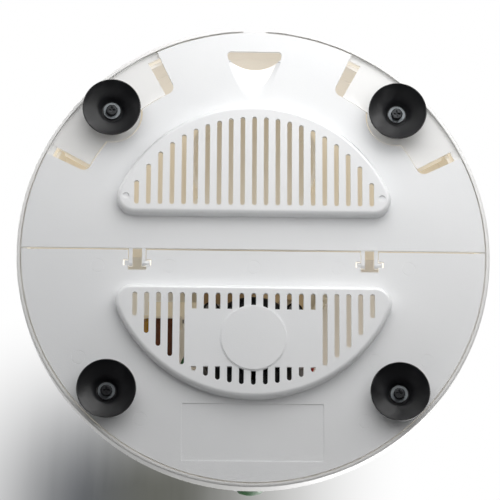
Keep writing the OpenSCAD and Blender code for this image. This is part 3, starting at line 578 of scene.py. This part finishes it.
@dataclass(frozen=True)
class Varnish:
    """Amber insulating tape and varnish, glossy and uneven."""

    name: str
    colour: Colour = (0.34, 0.18, 0.010)
    thick: Colour = (0.16, 0.075, 0.004)
    roughness: float = 0.16
    specular: float = 0.3
    coat: float = 0.12
    flow: Pattern = Pattern(160, 3, (0.35, 0.75))
    flow_roughness: float = 0.14
    flow_coat: float = 0.2
    creases: Pattern = Pattern(420)
    crease_depth: float = 0.12 * MM

    def material(self) -> bpy.types.Material:
        """Builds the material.

        Returns:
            The material.
        """
        g = Graph(self.name)
        flow = self.flow.over(g)
        return g.surface(
            Base_Color=g.blend(flow, self.colour, self.thick),
            Roughness=self.roughness + flow * self.flow_roughness,
            Normal=g.bump(self.creases.over(g), self.crease_depth),
            Specular_IOR_Level=self.specular,
            Coat_Weight=self.coat + self.flow_coat * flow,
        )


@dataclass(frozen=True)
class PeelingPlastic:
    """Plastic of the drum: a coarse rasp texture of small pips on the clear grey wall."""

    name: str
    colour: Colour = (0.56, 0.60, 0.63)
    pip: Colour = (0.70, 0.73, 0.75)
    roughness: float = 0.32
    pips_per_metre: float = 330
    pip_edge: Span = (0.12, 0.42)  # distances from a pip's centre, in pips
    pip_share: float = 0.5
    pip_height: float = 0.4 * MM
    pip_strength: float = 0.8
    disorder: float = 0.35
    stains: Pattern = Pattern(24, 3, (0.4, 0.8))
    stain_share: float = 0.2
    stain_roughness: float = 0.15

    def material(self) -> bpy.types.Material:
        """Builds the material.

        Returns:
            The material.
        """
        g = Graph(self.name)
        cells = g.node(
            "ShaderNodeTexVoronoi",
            {"feature": "F1"},
            {"Vector": g.place, "Scale": self.pips_per_metre, "Randomness": self.disorder},
            output="Distance",
        )
        pips = 1 - cells.ramp(*self.pip_edge)
        stain = self.stains.over(g)
        pale = pips * self.pip_share + stain * self.stain_share
        return g.surface(
            Base_Color=g.blend(pale, self.colour, self.pip),
            Roughness=self.roughness + stain * self.stain_roughness,
            Normal=g.bump(pips, self.pip_height, self.pip_strength),
        )


@cache
def material_of(finish: Finish) -> bpy.types.Material:
    """The material of a finish, built once."""
    return finish.material()


class Slot(Enum):
    """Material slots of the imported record."""

    WHITE = "white_abs"
    CREAM = "cream_plastic"
    RUBBER = "black_rubber"
    BLACK = "black_plastic"
    GREEN = "green_plastic"
    CLEAR = "clear_plastic"
    DRUM = "drum_plastic"
    NYLON = "nylon"
    STEEL = "steel"
    ZINC = "zinc_steel"
    COPPER = "copper"
    BRASS = "brass"
    AMBER = "amber_tape"
    SHEATH = "wire_sheath"


# Three copies of the casing's white plastic that differ in painted glow: WELL glows most; RIM is a little
# warmer and glows least, from higher up.
WHITE = ShellPlastic(
    "white_abs", (0.86, 0.865, 0.87), (0.81, 0.82, 0.83), glow=0.36, glow_colour=(1.0, 0.91, 0.76)
)
WELL = ShellPlastic(
    "well_abs", (0.86, 0.865, 0.87), (0.81, 0.82, 0.83), glow=0.62, glow_colour=(1.0, 0.86, 0.64)
)
RIM = ShellPlastic(
    "rim_abs", (0.88, 0.875, 0.86), (0.84, 0.835, 0.82),
    glow=0.26, glow_colour=(1.0, 0.92, 0.78), floor=13.6 * MM,
)
# The tray's painted glow: dim and warm over the middle, lighter and cooler at the rear wall.
CREAM = TrayPlastic(
    "cream_plastic", (0.76, 0.71, 0.62), (0.70, 0.64, 0.54), 0.42,
    glow=0.33, glow_colour=(0.54, 0.57, 0.61), glow_dim=(0.36, 0.33, 0.27),
)
RUBBER = Rubber("black_rubber")
BLACK = MouldedPlastic("black_plastic", (0.010, 0.010, 0.011), (0.020, 0.020, 0.022), 0.50, specular=0.25)
GREEN = MouldedPlastic("green_plastic", (0.014, 0.125, 0.026), (0.010, 0.090, 0.020), 0.24)
CLEAR = ClearPlastic("clear_plastic")
DRUM = PeelingPlastic("drum_plastic")
NYLON = MouldedPlastic("nylon", (0.70, 0.68, 0.60), (0.60, 0.57, 0.49), 0.40)
# The bobbin's nylon, yellower than NYLON, with a painted glow for light that comes through it.
BOBBIN = MouldedPlastic("bobbin_nylon", (0.66, 0.60, 0.46), (0.56, 0.50, 0.38), 0.42, glow=0.16)
STEEL = DrawnMetal("steel", (0.60, 0.61, 0.63), (0.38, 0.38, 0.39))
BLADE = DrawnMetal("blade_steel", (0.72, 0.73, 0.75), (0.50, 0.50, 0.52), 0.16, (12, 12, 1))
# The gearbox plate's glow is painted light, in place of light that the glowing walls of the casing throw on
# it.
ZINC = DrawnMetal(
    "zinc_steel", (0.34, 0.28, 0.19), (0.24, 0.19, 0.12), 0.48, (1, 12, 1),
    metal=0.45, glow=(0.080, 0.054, 0.028),
)
SPRING = DrawnMetal("spring_steel", (0.50, 0.50, 0.52), (0.30, 0.30, 0.31), 0.24, (3, 3, 3))
SCREW = DrawnMetal("screw_zinc", (0.20, 0.20, 0.21), (0.09, 0.09, 0.10), 0.26, (3, 3, 3))
# The foot screws' metal is darker than the case screws': painted shade of the deep foot cups.
FOOT_SCREW = DrawnMetal("foot_screw_shaded", (0.12, 0.125, 0.13), (0.035, 0.035, 0.04), 0.18, (3, 3, 3))
WASHER = DrawnMetal("washer_zinc", (0.38, 0.41, 0.43), (0.16, 0.175, 0.185), 0.24, (3, 3, 3))
BRASS = DrawnMetal("brass", (0.62, 0.42, 0.14), (0.36, 0.22, 0.07), 0.30, (3, 3, 3))
LAMINATED = LaminatedSteel("laminated_steel")
COIL = WoundWire("coil_wire", "Y")
WINDING = WoundWire("rotor_wire", "X", 0.5 * MM)
COMMUTATOR = DrawnMetal("commutator_copper", (0.66, 0.30, 0.13), (0.24, 0.10, 0.05), 0.3, (1, 1, 14))
TAPE = Varnish("amber_tape")
SEAL = Rubber("seal_rubber", (0.30, 0.31, 0.32), (0.38, 0.38, 0.39), 0.45)
RED_SHEATH = MouldedPlastic("red_sheath", (0.42, 0.012, 0.008), (0.30, 0.010, 0.008), 0.3)
GREEN_SHEATH = MouldedPlastic("green_sheath", (0.012, 0.13, 0.03), (0.010, 0.09, 0.02), 0.3)


# ---------- Modelling tools ----------


def select_only(obj: bpy.types.Object) -> None:
    """Deselects everything but one piece and makes it active.

    Args:
        obj: the piece.
    """
    bpy.ops.object.select_all(action="DESELECT")
    obj.select_set(True)
    bpy.context.view_layer.objects.active = obj


def edit_all(obj: bpy.types.Object) -> None:
    """Opens a piece in edit mode with its whole mesh selected.

    Args:
        obj: the piece.
    """
    select_only(obj)
    bpy.ops.object.mode_set(mode="EDIT")
    bpy.ops.mesh.select_all(action="SELECT")


def leave_edit() -> None:
    """Goes back to object mode."""
    bpy.ops.object.mode_set(mode="OBJECT")


def apply_modifier(obj: bpy.types.Object, kind: str, **settings: object) -> None:
    """Adds a modifier and applies it.

    Args:
        obj: the piece.
        kind: the modifier's type.
        settings: its properties.
    """
    select_only(obj)
    modifier = obj.modifiers.new(kind.lower(), kind)
    for key, value in settings.items():
        setattr(modifier, key, value)
    bpy.ops.object.modifier_apply(modifier=modifier.name)


def smooth(obj: bpy.types.Object, angle: float = CREASE) -> None:
    """Shades a piece smooth and lets its large faces set the normals.

    Args:
        obj: the piece.
        angle: edges sharper than this many degrees stay sharp.
    """
    select_only(obj)
    bpy.ops.object.shade_smooth_by_angle(angle=math.radians(angle))
    apply_modifier(obj, "WEIGHTED_NORMAL", keep_sharp=True, weight=FACE_WEIGHT)


def finish_piece(
    obj: bpy.types.Object,
    name: str,
    finish: Finish,
    body: str,
    stands_for: Sequence[str] = (),
) -> bpy.types.Object:
    """Names a piece, dresses it and sets it on its body.

    Args:
        obj: the piece.
        name: its name.
        finish: its surface.
        body: the body that it rides on.
        stands_for: the CAD nodes that it replaces.

    Returns:
        The piece.
    """
    obj.name = name
    obj.data.name = name
    obj.data.materials.clear()
    obj.data.materials.append(material_of(finish))
    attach(obj, body)
    if stands_for:
        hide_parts(*stands_for)
    log.info("%s: %d faces on %s", name, len(obj.data.polygons), body)
    return obj


def turned(
    rings: Sequence[Ring], centre: tuple[float, float] = (0, 0), sides: int = 96, closed: bool = True
) -> bpy.types.Object:
    """Turns a piece about a vertical axis, ring by ring from a circle.

    Args:
        rings: radius and height of each ring.
        centre: where the axis stands.
        sides: points of a ring.
        closed: whether the last ring meets the first; if not, both ends are capped.

    Returns:
        The new piece, with its place in its mesh.
    """
    bpy.ops.object.select_all(action="DESELECT")
    radius, height = rings[0]
    fill = "NOTHING" if closed else "NGON"
    bpy.ops.mesh.primitive_circle_add(
        vertices=sides, radius=radius, location=(*centre, height), fill_type=fill
    )
    obj = bpy.context.object
    bpy.ops.object.transform_apply(location=True, rotation=True, scale=True)
    edit_all(obj)
    last = (radius, height)
    for ring in [*rings[1:], rings[0]] if closed else rings[1:]:
        if closed:
            bpy.ops.mesh.extrude_edges_indiv()
        else:
            bpy.ops.mesh.extrude_region()
        bpy.ops.transform.translate(value=(0, 0, ring[1] - last[1]))
        share = ring[0] / last[0]
        bpy.ops.transform.resize(value=(share, share, 1), center_override=(*centre, ring[1]))
        last = ring
    bpy.ops.mesh.select_all(action="SELECT")
    bpy.ops.mesh.remove_doubles(threshold=MERGE)
    bpy.ops.mesh.normals_make_consistent(inside=False)
    leave_edit()
    return obj


def bend(cx: float, cz: float, r: float, start: float, end: float, steps: int) -> list[Ring]:
    """Rings along an arc of a turned piece's outline.

    Args:
        cx: radius at the arc's centre.
        cz: height of the arc's centre.
        r: the arc's radius.
        start: its first angle in degrees, from the outward direction towards up.
        end: its last angle.
        steps: number of stretches.

    Returns:
        The rings, both ends included.
    """
    angles = [math.radians(start + (end - start) * i / steps) for i in range(steps + 1)]
    return [(cx + r * math.cos(a), cz + r * math.sin(a)) for a in angles]


def softened(node: str, width: float) -> bpy.types.Object:
    """A copy of a CAD node with its sharp edges rounded, as a mould leaves them.

    Args:
        node: the CAD node.
        width: width of the rounding in metres.

    Returns:
        The copy.
    """
    obj = bpy.data.objects.new(node + "_soft", frame["nodes"][node].data.copy())
    bpy.context.scene.collection.objects.link(obj)
    edit_all(obj)
    bpy.ops.mesh.remove_doubles(threshold=MERGE)
    bpy.ops.mesh.dissolve_limited(angle_limit=FLAT)
    leave_edit()
    if width:
        apply_modifier(
            obj,
            "BEVEL",
            width=width,
            segments=2,
            limit_method="ANGLE",
            angle_limit=SHARP,
            use_clamp_overlap=True,
            miter_outer="MITER_ARC",
        )
    smooth(obj)
    return obj


@dataclass(frozen=True)
class Dress:
    """How one CAD node is dressed: its finish, its slot and the rounding of its edges."""

    node: str
    finish: Finish
    slot: Slot
    edge: float = 0.0


class SubAssembly:
    """Pieces of one part of the peeler."""

    dresses: Sequence[Dress] = ()

    def build(self) -> None:
        """Makes the pieces and dresses the nodes."""
        for dress in self.dresses:
            self.dress(dress)

    def dress(self, dress: Dress) -> bpy.types.Object:
        """Replaces a CAD node by a softened copy with its finish.

        Args:
            dress: what to do.

        Returns:
            The copy.
        """
        obj = softened(dress.node, dress.edge)
        body = frame["nodes"][dress.node]["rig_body"]
        return finish_piece(obj, dress.node + "_dressed", dress.finish, body, [dress.node])


# ---------- The peeler ----------


@dataclass
class Casing(SubAssembly):
    """Housing, base plate, cord door and the tray of the cord compartment."""

    edge: float = 0.35 * MM
    slot_edge: float = 0.28 * MM
    tray_edge: float = 0.3 * MM
    screw_edge: float = 0.12 * MM
    pin_edge: float = 0.2 * MM

    def build(self) -> None:
        """Makes the casing's pieces."""
        self.dresses = (
            Dress("housing", WHITE, Slot.WHITE, self.edge),
            Dress("base_ring", RIM, Slot.WHITE, self.edge),
            Dress("drum_well", WELL, Slot.WHITE, self.edge),
            Dress("mounting_posts", WHITE, Slot.WHITE, self.tray_edge),
            Dress("front_base_plate", WHITE, Slot.WHITE, self.slot_edge),
            Dress("cord_door", WHITE, Slot.WHITE, self.slot_edge),
            Dress("cord_tray", CREAM, Slot.CREAM, self.tray_edge),
            Dress("cord_spool", CREAM, Slot.CREAM, self.tray_edge),
            Dress("cord_gland", RUBBER, Slot.RUBBER, self.tray_edge),
            Dress("case_screws", SCREW, Slot.STEEL, self.screw_edge),
            Dress("lid_hinge_pins", STEEL, Slot.STEEL, self.pin_edge),
        )
        super().build()


@dataclass
class SuctionFeet(SubAssembly):
    """Four rubber suction feet, each with its washer and screw."""

    rim: float = 15.5 * MM
    bore: float = 2.2 * MM
    seat: float = 7.8 * MM
    height: float = 11 * MM
    crease: float = 50
    washer_edge: float = 0.15 * MM
    screw_edge: float = 0.12 * MM

    def cup(self) -> list[Ring]:
        """Draws the outline of a foot, from its screw hole round the dish to its neck.

        Returns:
            Its rings.
        """
        dish = [
            (5.0, 7.8), (5.3, 7.7), (5.6, 7.3), (6.0, 6.4), (6.5, 5.4), (7.2, 4.4), (8.2, 3.65),
            (9.5, 3.05), (11.0, 2.4), (12.5, 1.7), (13.7, 1.0), (14.5, 0.4), (14.9, 0.08), (15.1, 0.0),
            (15.4, 0.15),
        ]
        outside = [
            (15.5, 0.5), (15.45, 1.1), (14.9, 2.2), (13.9, 3.6), (12.8, 5.4), (11.9, 7.2), (11.1, 9.0),
            (10.6, 10.2), (10.3, 11.0),
        ]
        skin = [(r * MM, z * MM) for r, z in dish + outside]
        return [(self.bore, self.seat), *skin, (self.bore, self.height)]

    def build(self) -> None:
        """Turns a foot at each corner and dresses the fasteners."""
        low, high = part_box("rubber_feet")
        x, y = high.x - self.rim, high.y - self.rim
        for number, (sx, sy) in enumerate(((1, 1), (-1, 1), (1, -1), (-1, -1)), 1):
            foot = turned(self.cup(), (sx * x, sy * y))
            smooth(foot, self.crease)
            finish_piece(foot, f"suction_foot_{number}", RUBBER, "base", ["rubber_feet"])
        self.dresses = (
            Dress("foot_washers", WASHER, Slot.STEEL, self.washer_edge),
            Dress("foot_screws", FOOT_SCREW, Slot.STEEL, self.screw_edge),
        )
        super().build()


@dataclass
class Controls(SubAssembly):
    """Power button, lid interlock and their switches and springs."""

    edge: float = 0.25 * MM

    def build(self) -> None:
        """Makes the controls."""
        self.dresses = (
            Dress("power_button", GREEN, Slot.GREEN, self.edge),
            Dress("power_switch", BLACK, Slot.BLACK, self.edge),
            Dress("interlock_plunger", NYLON, Slot.NYLON, self.edge),
            Dress("interlock_switch", BLACK, Slot.BLACK, self.edge),
            Dress("button_spring", SPRING, Slot.STEEL),
            Dress("interlock_spring", SPRING, Slot.STEEL),
        )
        super().build()


@dataclass
class Motor(SubAssembly):
    """Frame, stator with its coil, end cap, brushes and rotor."""

    frame_edge: float = 0.3 * MM
    sheet_edge: float = 0.15 * MM
    coil_edge: float = 0.8 * MM
    thin_edge: float = 0.2 * MM
    cap_edge: float = 0.25 * MM
    screw_edge: float = 0.12 * MM
    fine_edge: float = 0.1 * MM
    capacitor_edge: float = 0.5 * MM

    def build(self) -> None:
        """Makes the motor."""
        self.dresses = (
            Dress("gearbox_plate", ZINC, Slot.ZINC, self.frame_edge),
            Dress("motor_stator", LAMINATED, Slot.ZINC, self.sheet_edge),
            Dress("coil_bobbin", BOBBIN, Slot.NYLON, self.frame_edge),
            Dress("field_coil", COIL, Slot.COPPER, self.coil_edge),
            Dress("coil_tape", TAPE, Slot.AMBER, self.thin_edge),
            Dress("motor_end_cap", BLACK, Slot.BLACK, self.cap_edge),
            Dress("motor_screws", SCREW, Slot.STEEL, self.screw_edge),
            Dress("motor_bearings", BRASS, Slot.BRASS, self.thin_edge),
            Dress("brush_holders", BRASS, Slot.BRASS, self.sheet_edge),
            Dress("carbon_brushes", BLACK, Slot.BLACK, self.fine_edge),
            Dress("motor_shaft", STEEL, Slot.STEEL, self.frame_edge),
            Dress("rotor_core", LAMINATED, Slot.ZINC, self.fine_edge),
            Dress("rotor_windings", WINDING, Slot.COPPER, self.coil_edge),
            Dress("commutator", COMMUTATOR, Slot.COPPER, self.fine_edge),
            Dress("cooling_fan", BLACK, Slot.BLACK, self.thin_edge),
            Dress("terminal_block", NYLON, Slot.NYLON, self.frame_edge),
            Dress("suppressor_capacitor", TAPE, Slot.AMBER, self.capacitor_edge),
        )
        super().build()
        self.leads()

    def leads(self) -> None:
        """Parts the two leads and gives each the colour of its sheath."""
        both = softened("motor_leads", 0)
        edit_all(both)
        bpy.ops.mesh.separate(type="LOOSE")
        leave_edit()
        pair = sorted(bpy.context.selected_objects, key=lambda o: min(v.co.x for v in o.data.vertices))
        for obj, finish in zip(pair, (RED_SHEATH, GREEN_SHEATH)):
            finish_piece(obj, finish.name, finish, "base", ["motor_leads"])


@dataclass
class Drive(SubAssembly):
    """Gears, spindle and what turns with them."""

    pinion_edge: float = 0.08 * MM
    fine_edge: float = 0.1 * MM
    washer_edge: float = 0.12 * MM
    spindle_edge: float = 0.2 * MM
    bush_edge: float = 0.25 * MM
    coupling_edge: float = 0.3 * MM
    turntable_edge: float = 0.6 * MM

    def build(self) -> None:
        """Makes the drive."""
        self.dresses = (
            Dress("pinion", STEEL, Slot.STEEL, self.pinion_edge),
            Dress("drive_gear", NYLON, Slot.NYLON, self.fine_edge),
            Dress("spindle", STEEL, Slot.STEEL, self.spindle_edge),
            Dress("spindle_bushes", BRASS, Slot.BRASS, self.bush_edge),
            Dress("thrust_washers", STEEL, Slot.STEEL, self.washer_edge),
            Dress("shaft_seal", RUBBER, Slot.RUBBER, self.washer_edge),
            Dress("spindle_circlip", SPRING, Slot.STEEL, self.fine_edge),
            Dress("drive_coupling", STEEL, Slot.STEEL, self.coupling_edge),
            Dress("turntable", NYLON, Slot.NYLON, self.turntable_edge),
        )
        super().build()


@dataclass
class Drum(SubAssembly):
    """The fixed peeling drum with its blades and their rivets."""

    edge: float = 0.4 * MM
    blade_edge: float = 0.08 * MM
    rivet_edge: float = 0.1 * MM

    def build(self) -> None:
        """Makes the drum."""
        self.dresses = (
            Dress("peeling_drum", DRUM, Slot.DRUM, self.edge),
            Dress("peeling_blades", BLADE, Slot.STEEL, self.blade_edge),
            Dress("blade_rivets", STEEL, Slot.STEEL, self.rivet_edge),
        )
        super().build()


@dataclass
class Lid(SubAssembly):
    """Clear dome, white collar and knob."""

    wall: float = 2.2 * MM
    shoulder: float = 34 * MM
    drop: float = 4.6 * MM
    rise: float = 4.9 * MM
    bore: float = 2.2 * MM
    foot: float = 12 * MM
    draft: float = 0.4 * MM
    arc: Span = (2, 80)  # degrees that the shoulder turns through
    steps: int = 12
    sides: int = 160
    knob_steps: int = 14
    collar_edge: float = 0.35 * MM
    screw_edge: float = 0.12 * MM

    def shell(self, inset: float) -> list[Ring]:
        """Draws the outline of the dome from its foot to the hole in its crown.

        Args:
            inset: how far inside the outer face it runs.

        Returns:
            Its rings.
        """
        low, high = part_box("lid_wall")
        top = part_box("lid_dome")[1].z
        flat = high.x - self.drop - self.shoulder
        centre = top - self.drop - self.shoulder
        side = bend(flat, centre, self.shoulder - inset, *self.arc, 2 * self.steps)
        edge = side[-1][0]
        shares = [*(i / self.steps for i in range(self.steps - 1, 0, -1)), self.bore / edge]
        crown = [(edge * share, top - inset - self.rise * share**2) for share in shares]
        foot = [(high.x - inset, low.z), (high.x - self.draft - inset, low.z + self.foot)]
        return [*foot, *side, *crown]

    def knob(self) -> list[Ring]:
        """Draws the outline of the knob, from its screw hole round the outside to its top.

        Returns:
            Its rings.
        """
        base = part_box("lid_dome")[1].z
        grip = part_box("lid_knob")[1].x / MM
        bore = self.bore / MM
        hole = [(bore, 10), (bore, 0)]
        seat = [(7, -0.03), (11.8, -0.16), (12.4, 0), (13, 0.6)]
        neck = bend(15, 5, 4.6, 230, 130, self.knob_steps)
        rim = bend(grip - 3.5, 13.3, 3.5, -60, 50, self.knob_steps)
        crown = [(16.4, 16.6), (14.4, 17.15), (12, 17.6), (9, 18.1), (6, 18.4), (3, 18.56), (1, 18.6)]
        return [(r * MM, base + z * MM) for r, z in hole + seat + neck + rim + crown]

    def build(self) -> None:
        """Turns the dome and the knob and dresses the rest."""
        dome = turned([*self.shell(0), *reversed(self.shell(self.wall))], sides=self.sides)
        smooth(dome)
        shells = ["lid_dome", "lid_shoulder", "lid_wall"]
        finish_piece(dome, "dome_moulding", CLEAR, "lid", shells)
        knob = turned(self.knob(), closed=False)
        smooth(knob)
        finish_piece(knob, "knob_moulding", WHITE, "lid", ["lid_knob"])
        self.dresses = (
            Dress("lid_collar", WHITE, Slot.WHITE, self.collar_edge),
            Dress("lid_seal", SEAL, Slot.RUBBER),
            Dress("knob_screw", SCREW, Slot.STEEL, self.screw_edge),
        )
        super().build()


# ---------- Studio ----------


@dataclass(frozen=True)
class Lamp:
    """A soft square lamp: where it hangs, what it faces, its side and its power in watts."""

    name: str
    place: Point
    aim: Point
    size: float
    power: float
    gloss_only: bool = False  # shows in reflections alone

    def hang(self) -> None:
        """Adds the lamp to the scene."""
        data = bpy.data.lights.new(self.name, "AREA")
        data.shape = "SQUARE"
        data.size = self.size
        data.energy = self.power
        lamp = bpy.data.objects.new(self.name, data)
        lamp.visible_camera = False
        lamp.visible_diffuse = not self.gloss_only
        bpy.context.scene.collection.objects.link(lamp)
        lamp.location = self.place
        lamp.rotation_mode = "QUATERNION"
        lamp.rotation_quaternion = (Vector(self.aim) - Vector(self.place)).to_track_quat("-Z", "Y")


LAMPS = (
    Lamp("low_key", (-0.04, 0.24, -0.23), (0, 0.16, 0.01), 0.6, 1.58),
    Lamp("low_front", (0.0, -0.75, -0.22), (0, -0.08, 0.01), 0.5, 0.26),
    Lamp("low_gloss", (-0.14, 0.40, -0.28), (0, 0.02, 0.01), 0.4, 10, gloss_only=True),
    Lamp("rear_right", (0.9, 0.8, -0.05), (0, 0.05, 0.02), 0.6, 4),
    Lamp("rear_left", (-0.9, 0.8, -0.05), (0, 0.05, 0.02), 0.6, 4),
    Lamp("high_key", (-0.9, -1.1, 1.5), (0, 0, 0.1), 1.0, 45),
    Lamp("high_fill", (1.3, 0.8, 1.1), (0, 0, 0.1), 1.2, 22),
)


@dataclass
class Studio:
    """Camera, lamps, table and backdrop."""

    tilt: float = math.radians(14.61)
    yaw: float = math.radians(1.54)
    roll: float = math.radians(0.31)
    distance: float = 1.357
    lens: float = 185.2  # millimetres, as is the film's width
    film: float = 36
    sight: Span = (0.05, 50)
    plate: Point = (0, 0, 0.011)
    aim: Point = (0.0019, 0.0013, 0.011)
    rays: tuple[str, ...] = ("Camera", "Glossy", "Transmission")
    daylight: float = 0.10
    table_size: float = 14
    table_colour: Colour = (0.93, 0.93, 0.93)
    table_roughness: float = 0.6
    table_fade: Span = (0.15, 0.75)
    paper_size: float = 0.8
    paper_height: float = 0.36
    # A painted shade on the backdrop: a grey patch at its near left, with its bounds, slant, depth, streaks
    # and greys below.
    painted_shade_left: Span = (0.213, 0.094)
    painted_shade_right: Span = (-0.112, 0.050)
    painted_shade_near: Span = (0.066, -0.066)
    painted_shade_slant: float = 0.12
    painted_shade_warm: Span = (0.11, 0.05)
    painted_shade_depth: float = 0.99
    streaks: Pattern = Pattern(90, 3, (0.3, 0.8), (1, 0.12, 1))
    streak_depth: float = 0.03
    cool_grey: Colour = (0.118, 0.124, 0.133)
    warm_grey: Colour = (0.128, 0.130, 0.115)

    def build(self) -> None:
        """Sets up everything round the object."""
        self.camera()
        for lamp in LAMPS:
            lamp.hang()
        self.world()
        self.table()
        self.backdrop()
        bpy.context.scene.view_settings.view_transform = "Standard"

    def camera(self) -> None:
        """Looks up at the underside from below and a little to the front."""
        level = math.cos(self.yaw)
        back = Vector((math.sin(self.yaw), -math.sin(self.tilt) * level, -math.cos(self.tilt) * level))
        data = bpy.data.cameras.new("camera")
        data.lens = self.lens
        data.sensor_width = self.film
        data.clip_start, data.clip_end = self.sight
        camera = bpy.data.objects.new("camera", data)
        bpy.context.scene.collection.objects.link(camera)
        camera.location = Vector(self.plate) + back * self.distance
        look = Vector(self.aim) - camera.location
        turn = look.to_track_quat("-Z", "Y").to_matrix()
        rear = (turn.inverted() @ Vector((0, 1, 0))).xy
        spin = math.atan2(rear.x, rear.y)
        camera.rotation_mode = "QUATERNION"
        camera.rotation_quaternion = (turn @ Matrix.Rotation(self.roll - spin, 3, "Z")).to_quaternion()
        bpy.context.scene.camera = camera

    def world(self) -> None:
        """Even white light, and pure white for the rays that see past the table."""
        world = bpy.data.worlds.new("studio")
        bpy.context.scene.world = world
        world.use_nodes = True
        tree = world.node_tree
        tree.nodes.clear()
        path = tree.nodes.new("ShaderNodeLightPath")
        light = tree.nodes.new("ShaderNodeBackground")
        light.inputs["Strength"].default_value = self.daylight
        seen = tree.nodes.new("ShaderNodeBackground")
        mix = tree.nodes.new("ShaderNodeMixShader")
        out = tree.nodes.new("ShaderNodeOutputWorld")
        for background in (light, seen):
            background.inputs["Color"].default_value = (1, 1, 1, 1)
        seen_rays = path.outputs["Is Camera Ray"]
        for kind in self.rays[1:]:
            either = tree.nodes.new("ShaderNodeMath")
            either.operation = "MAXIMUM"
            tree.links.new(seen_rays, either.inputs[0])
            tree.links.new(path.outputs[f"Is {kind} Ray"], either.inputs[1])
            seen_rays = either.outputs[0]
        tree.links.new(seen_rays, mix.inputs[0])
        tree.links.new(light.outputs[0], mix.inputs[1])
        tree.links.new(seen.outputs[0], mix.inputs[2])
        tree.links.new(mix.outputs[0], out.inputs[0])

    def sheet(self, name: str, size: float, height: float, material: bpy.types.Material) -> None:
        """Adds a level stage plane.

        Args:
            name: its name.
            size: its side.
            height: where it lies.
            material: its material.
        """
        bpy.ops.object.select_all(action="DESELECT")
        bpy.ops.mesh.primitive_plane_add(size=size, location=(0, 0, height))
        plane = bpy.context.object
        bpy.ops.object.transform_apply(location=True)
        plane.name = name
        plane.data.materials.append(material)

    def seen_from(self, g: Graph, above: bool) -> Value:
        """1 for the rays that see the sheet from one side, 0 for all others.

        Args:
            g: the sheet's material.
            above: whether the sheet shows from above; otherwise from below.

        Returns:
            The factor.
        """
        seen = sum(g.node("ShaderNodeLightPath", output=f"Is {kind} Ray") for kind in self.rays)
        behind = g.node("ShaderNodeNewGeometry", output="Backfacing")
        side = 1 - behind if above else behind
        return seen * side

    def table(self) -> None:
        """A pale top with the object's shadow, white further off, that shows only from above."""
        g = Graph("table_top")
        near = g.node(
            "ShaderNodeBsdfPrincipled",
            inputs={"Base Color": (*self.table_colour, 1), "Roughness": self.table_roughness},
        )
        away = g.from_axis().ramp(*self.table_fade)
        top = self.mix(g, away, near, self.white(g))
        shown = self.mix(g, self.seen_from(g, True), g.node("ShaderNodeBsdfTransparent"), top)
        self.sheet("table_top", self.table_size, 0.0, g.end(shown))

    def backdrop(self) -> None:
        """Paper behind the object as the camera sees it: white, with a painted grey shade at its near left.
        """
        g = Graph("backdrop_paper")
        x, y = g.axis("X"), g.axis("Y")
        # Painted shade: grey that fades in across X and towards the near side, banded by streaks.
        side = x.ramp(*self.painted_shade_left) * x.ramp(*self.painted_shade_right)
        near = (y + x * self.painted_shade_slant).ramp(*self.painted_shade_near)
        streak = self.streaks.over(g) * self.streak_depth
        deep = g.blend(x.ramp(*self.painted_shade_warm), self.cool_grey, self.warm_grey)
        tone = g.blend(side * near * (self.painted_shade_depth + streak), (1.0, 1.0, 1.0), deep)
        paper = self.white(g, tone)
        shown = self.mix(g, self.seen_from(g, False), g.node("ShaderNodeBsdfTransparent"), paper)
        self.sheet("backdrop_paper", self.paper_size, self.paper_height, g.end(shown))

    def white(self, g: Graph, tone: Value | Colour = (1, 1, 1)) -> Value:
        """A surface that shows a tone whatever light falls on it.

        Args:
            g: the sheet's material.
            tone: its colour.

        Returns:
            The shader.
        """
        colour = (*tone, 1) if isinstance(tone, tuple) else tone
        return g.node("ShaderNodeEmission", inputs={"Color": colour, "Strength": 1.0})

    def mix(self, g: Graph, share: Value, first: Value, second: Value) -> Value:
        """Shader first, which turns into second as share goes from 0 to 1."""
        return g.node("ShaderNodeMixShader", inputs={0: share, 1: first, 2: second})


def undressed(nodes: Iterable[str]) -> list[str]:
    """Names of the CAD nodes that still show, because no piece replaces them."""
    return [n for n in nodes if not frame["nodes"][n].hide_render]


def main() -> None:
    """Builds the peeler's looks and its studio."""
    logging.basicConfig(level=logging.INFO, format="%(name)s: %(message)s")
    for part in (Casing(), SuctionFeet(), Controls(), Motor(), Drive(), Drum(), Lid()):
        log.info("building %s", type(part).__name__)
        part.build()
    for name in undressed(frame["nodes"]):
        log.warning("%s is not dressed", name)
    Studio().build()


if __name__ == "__main__":
    main()
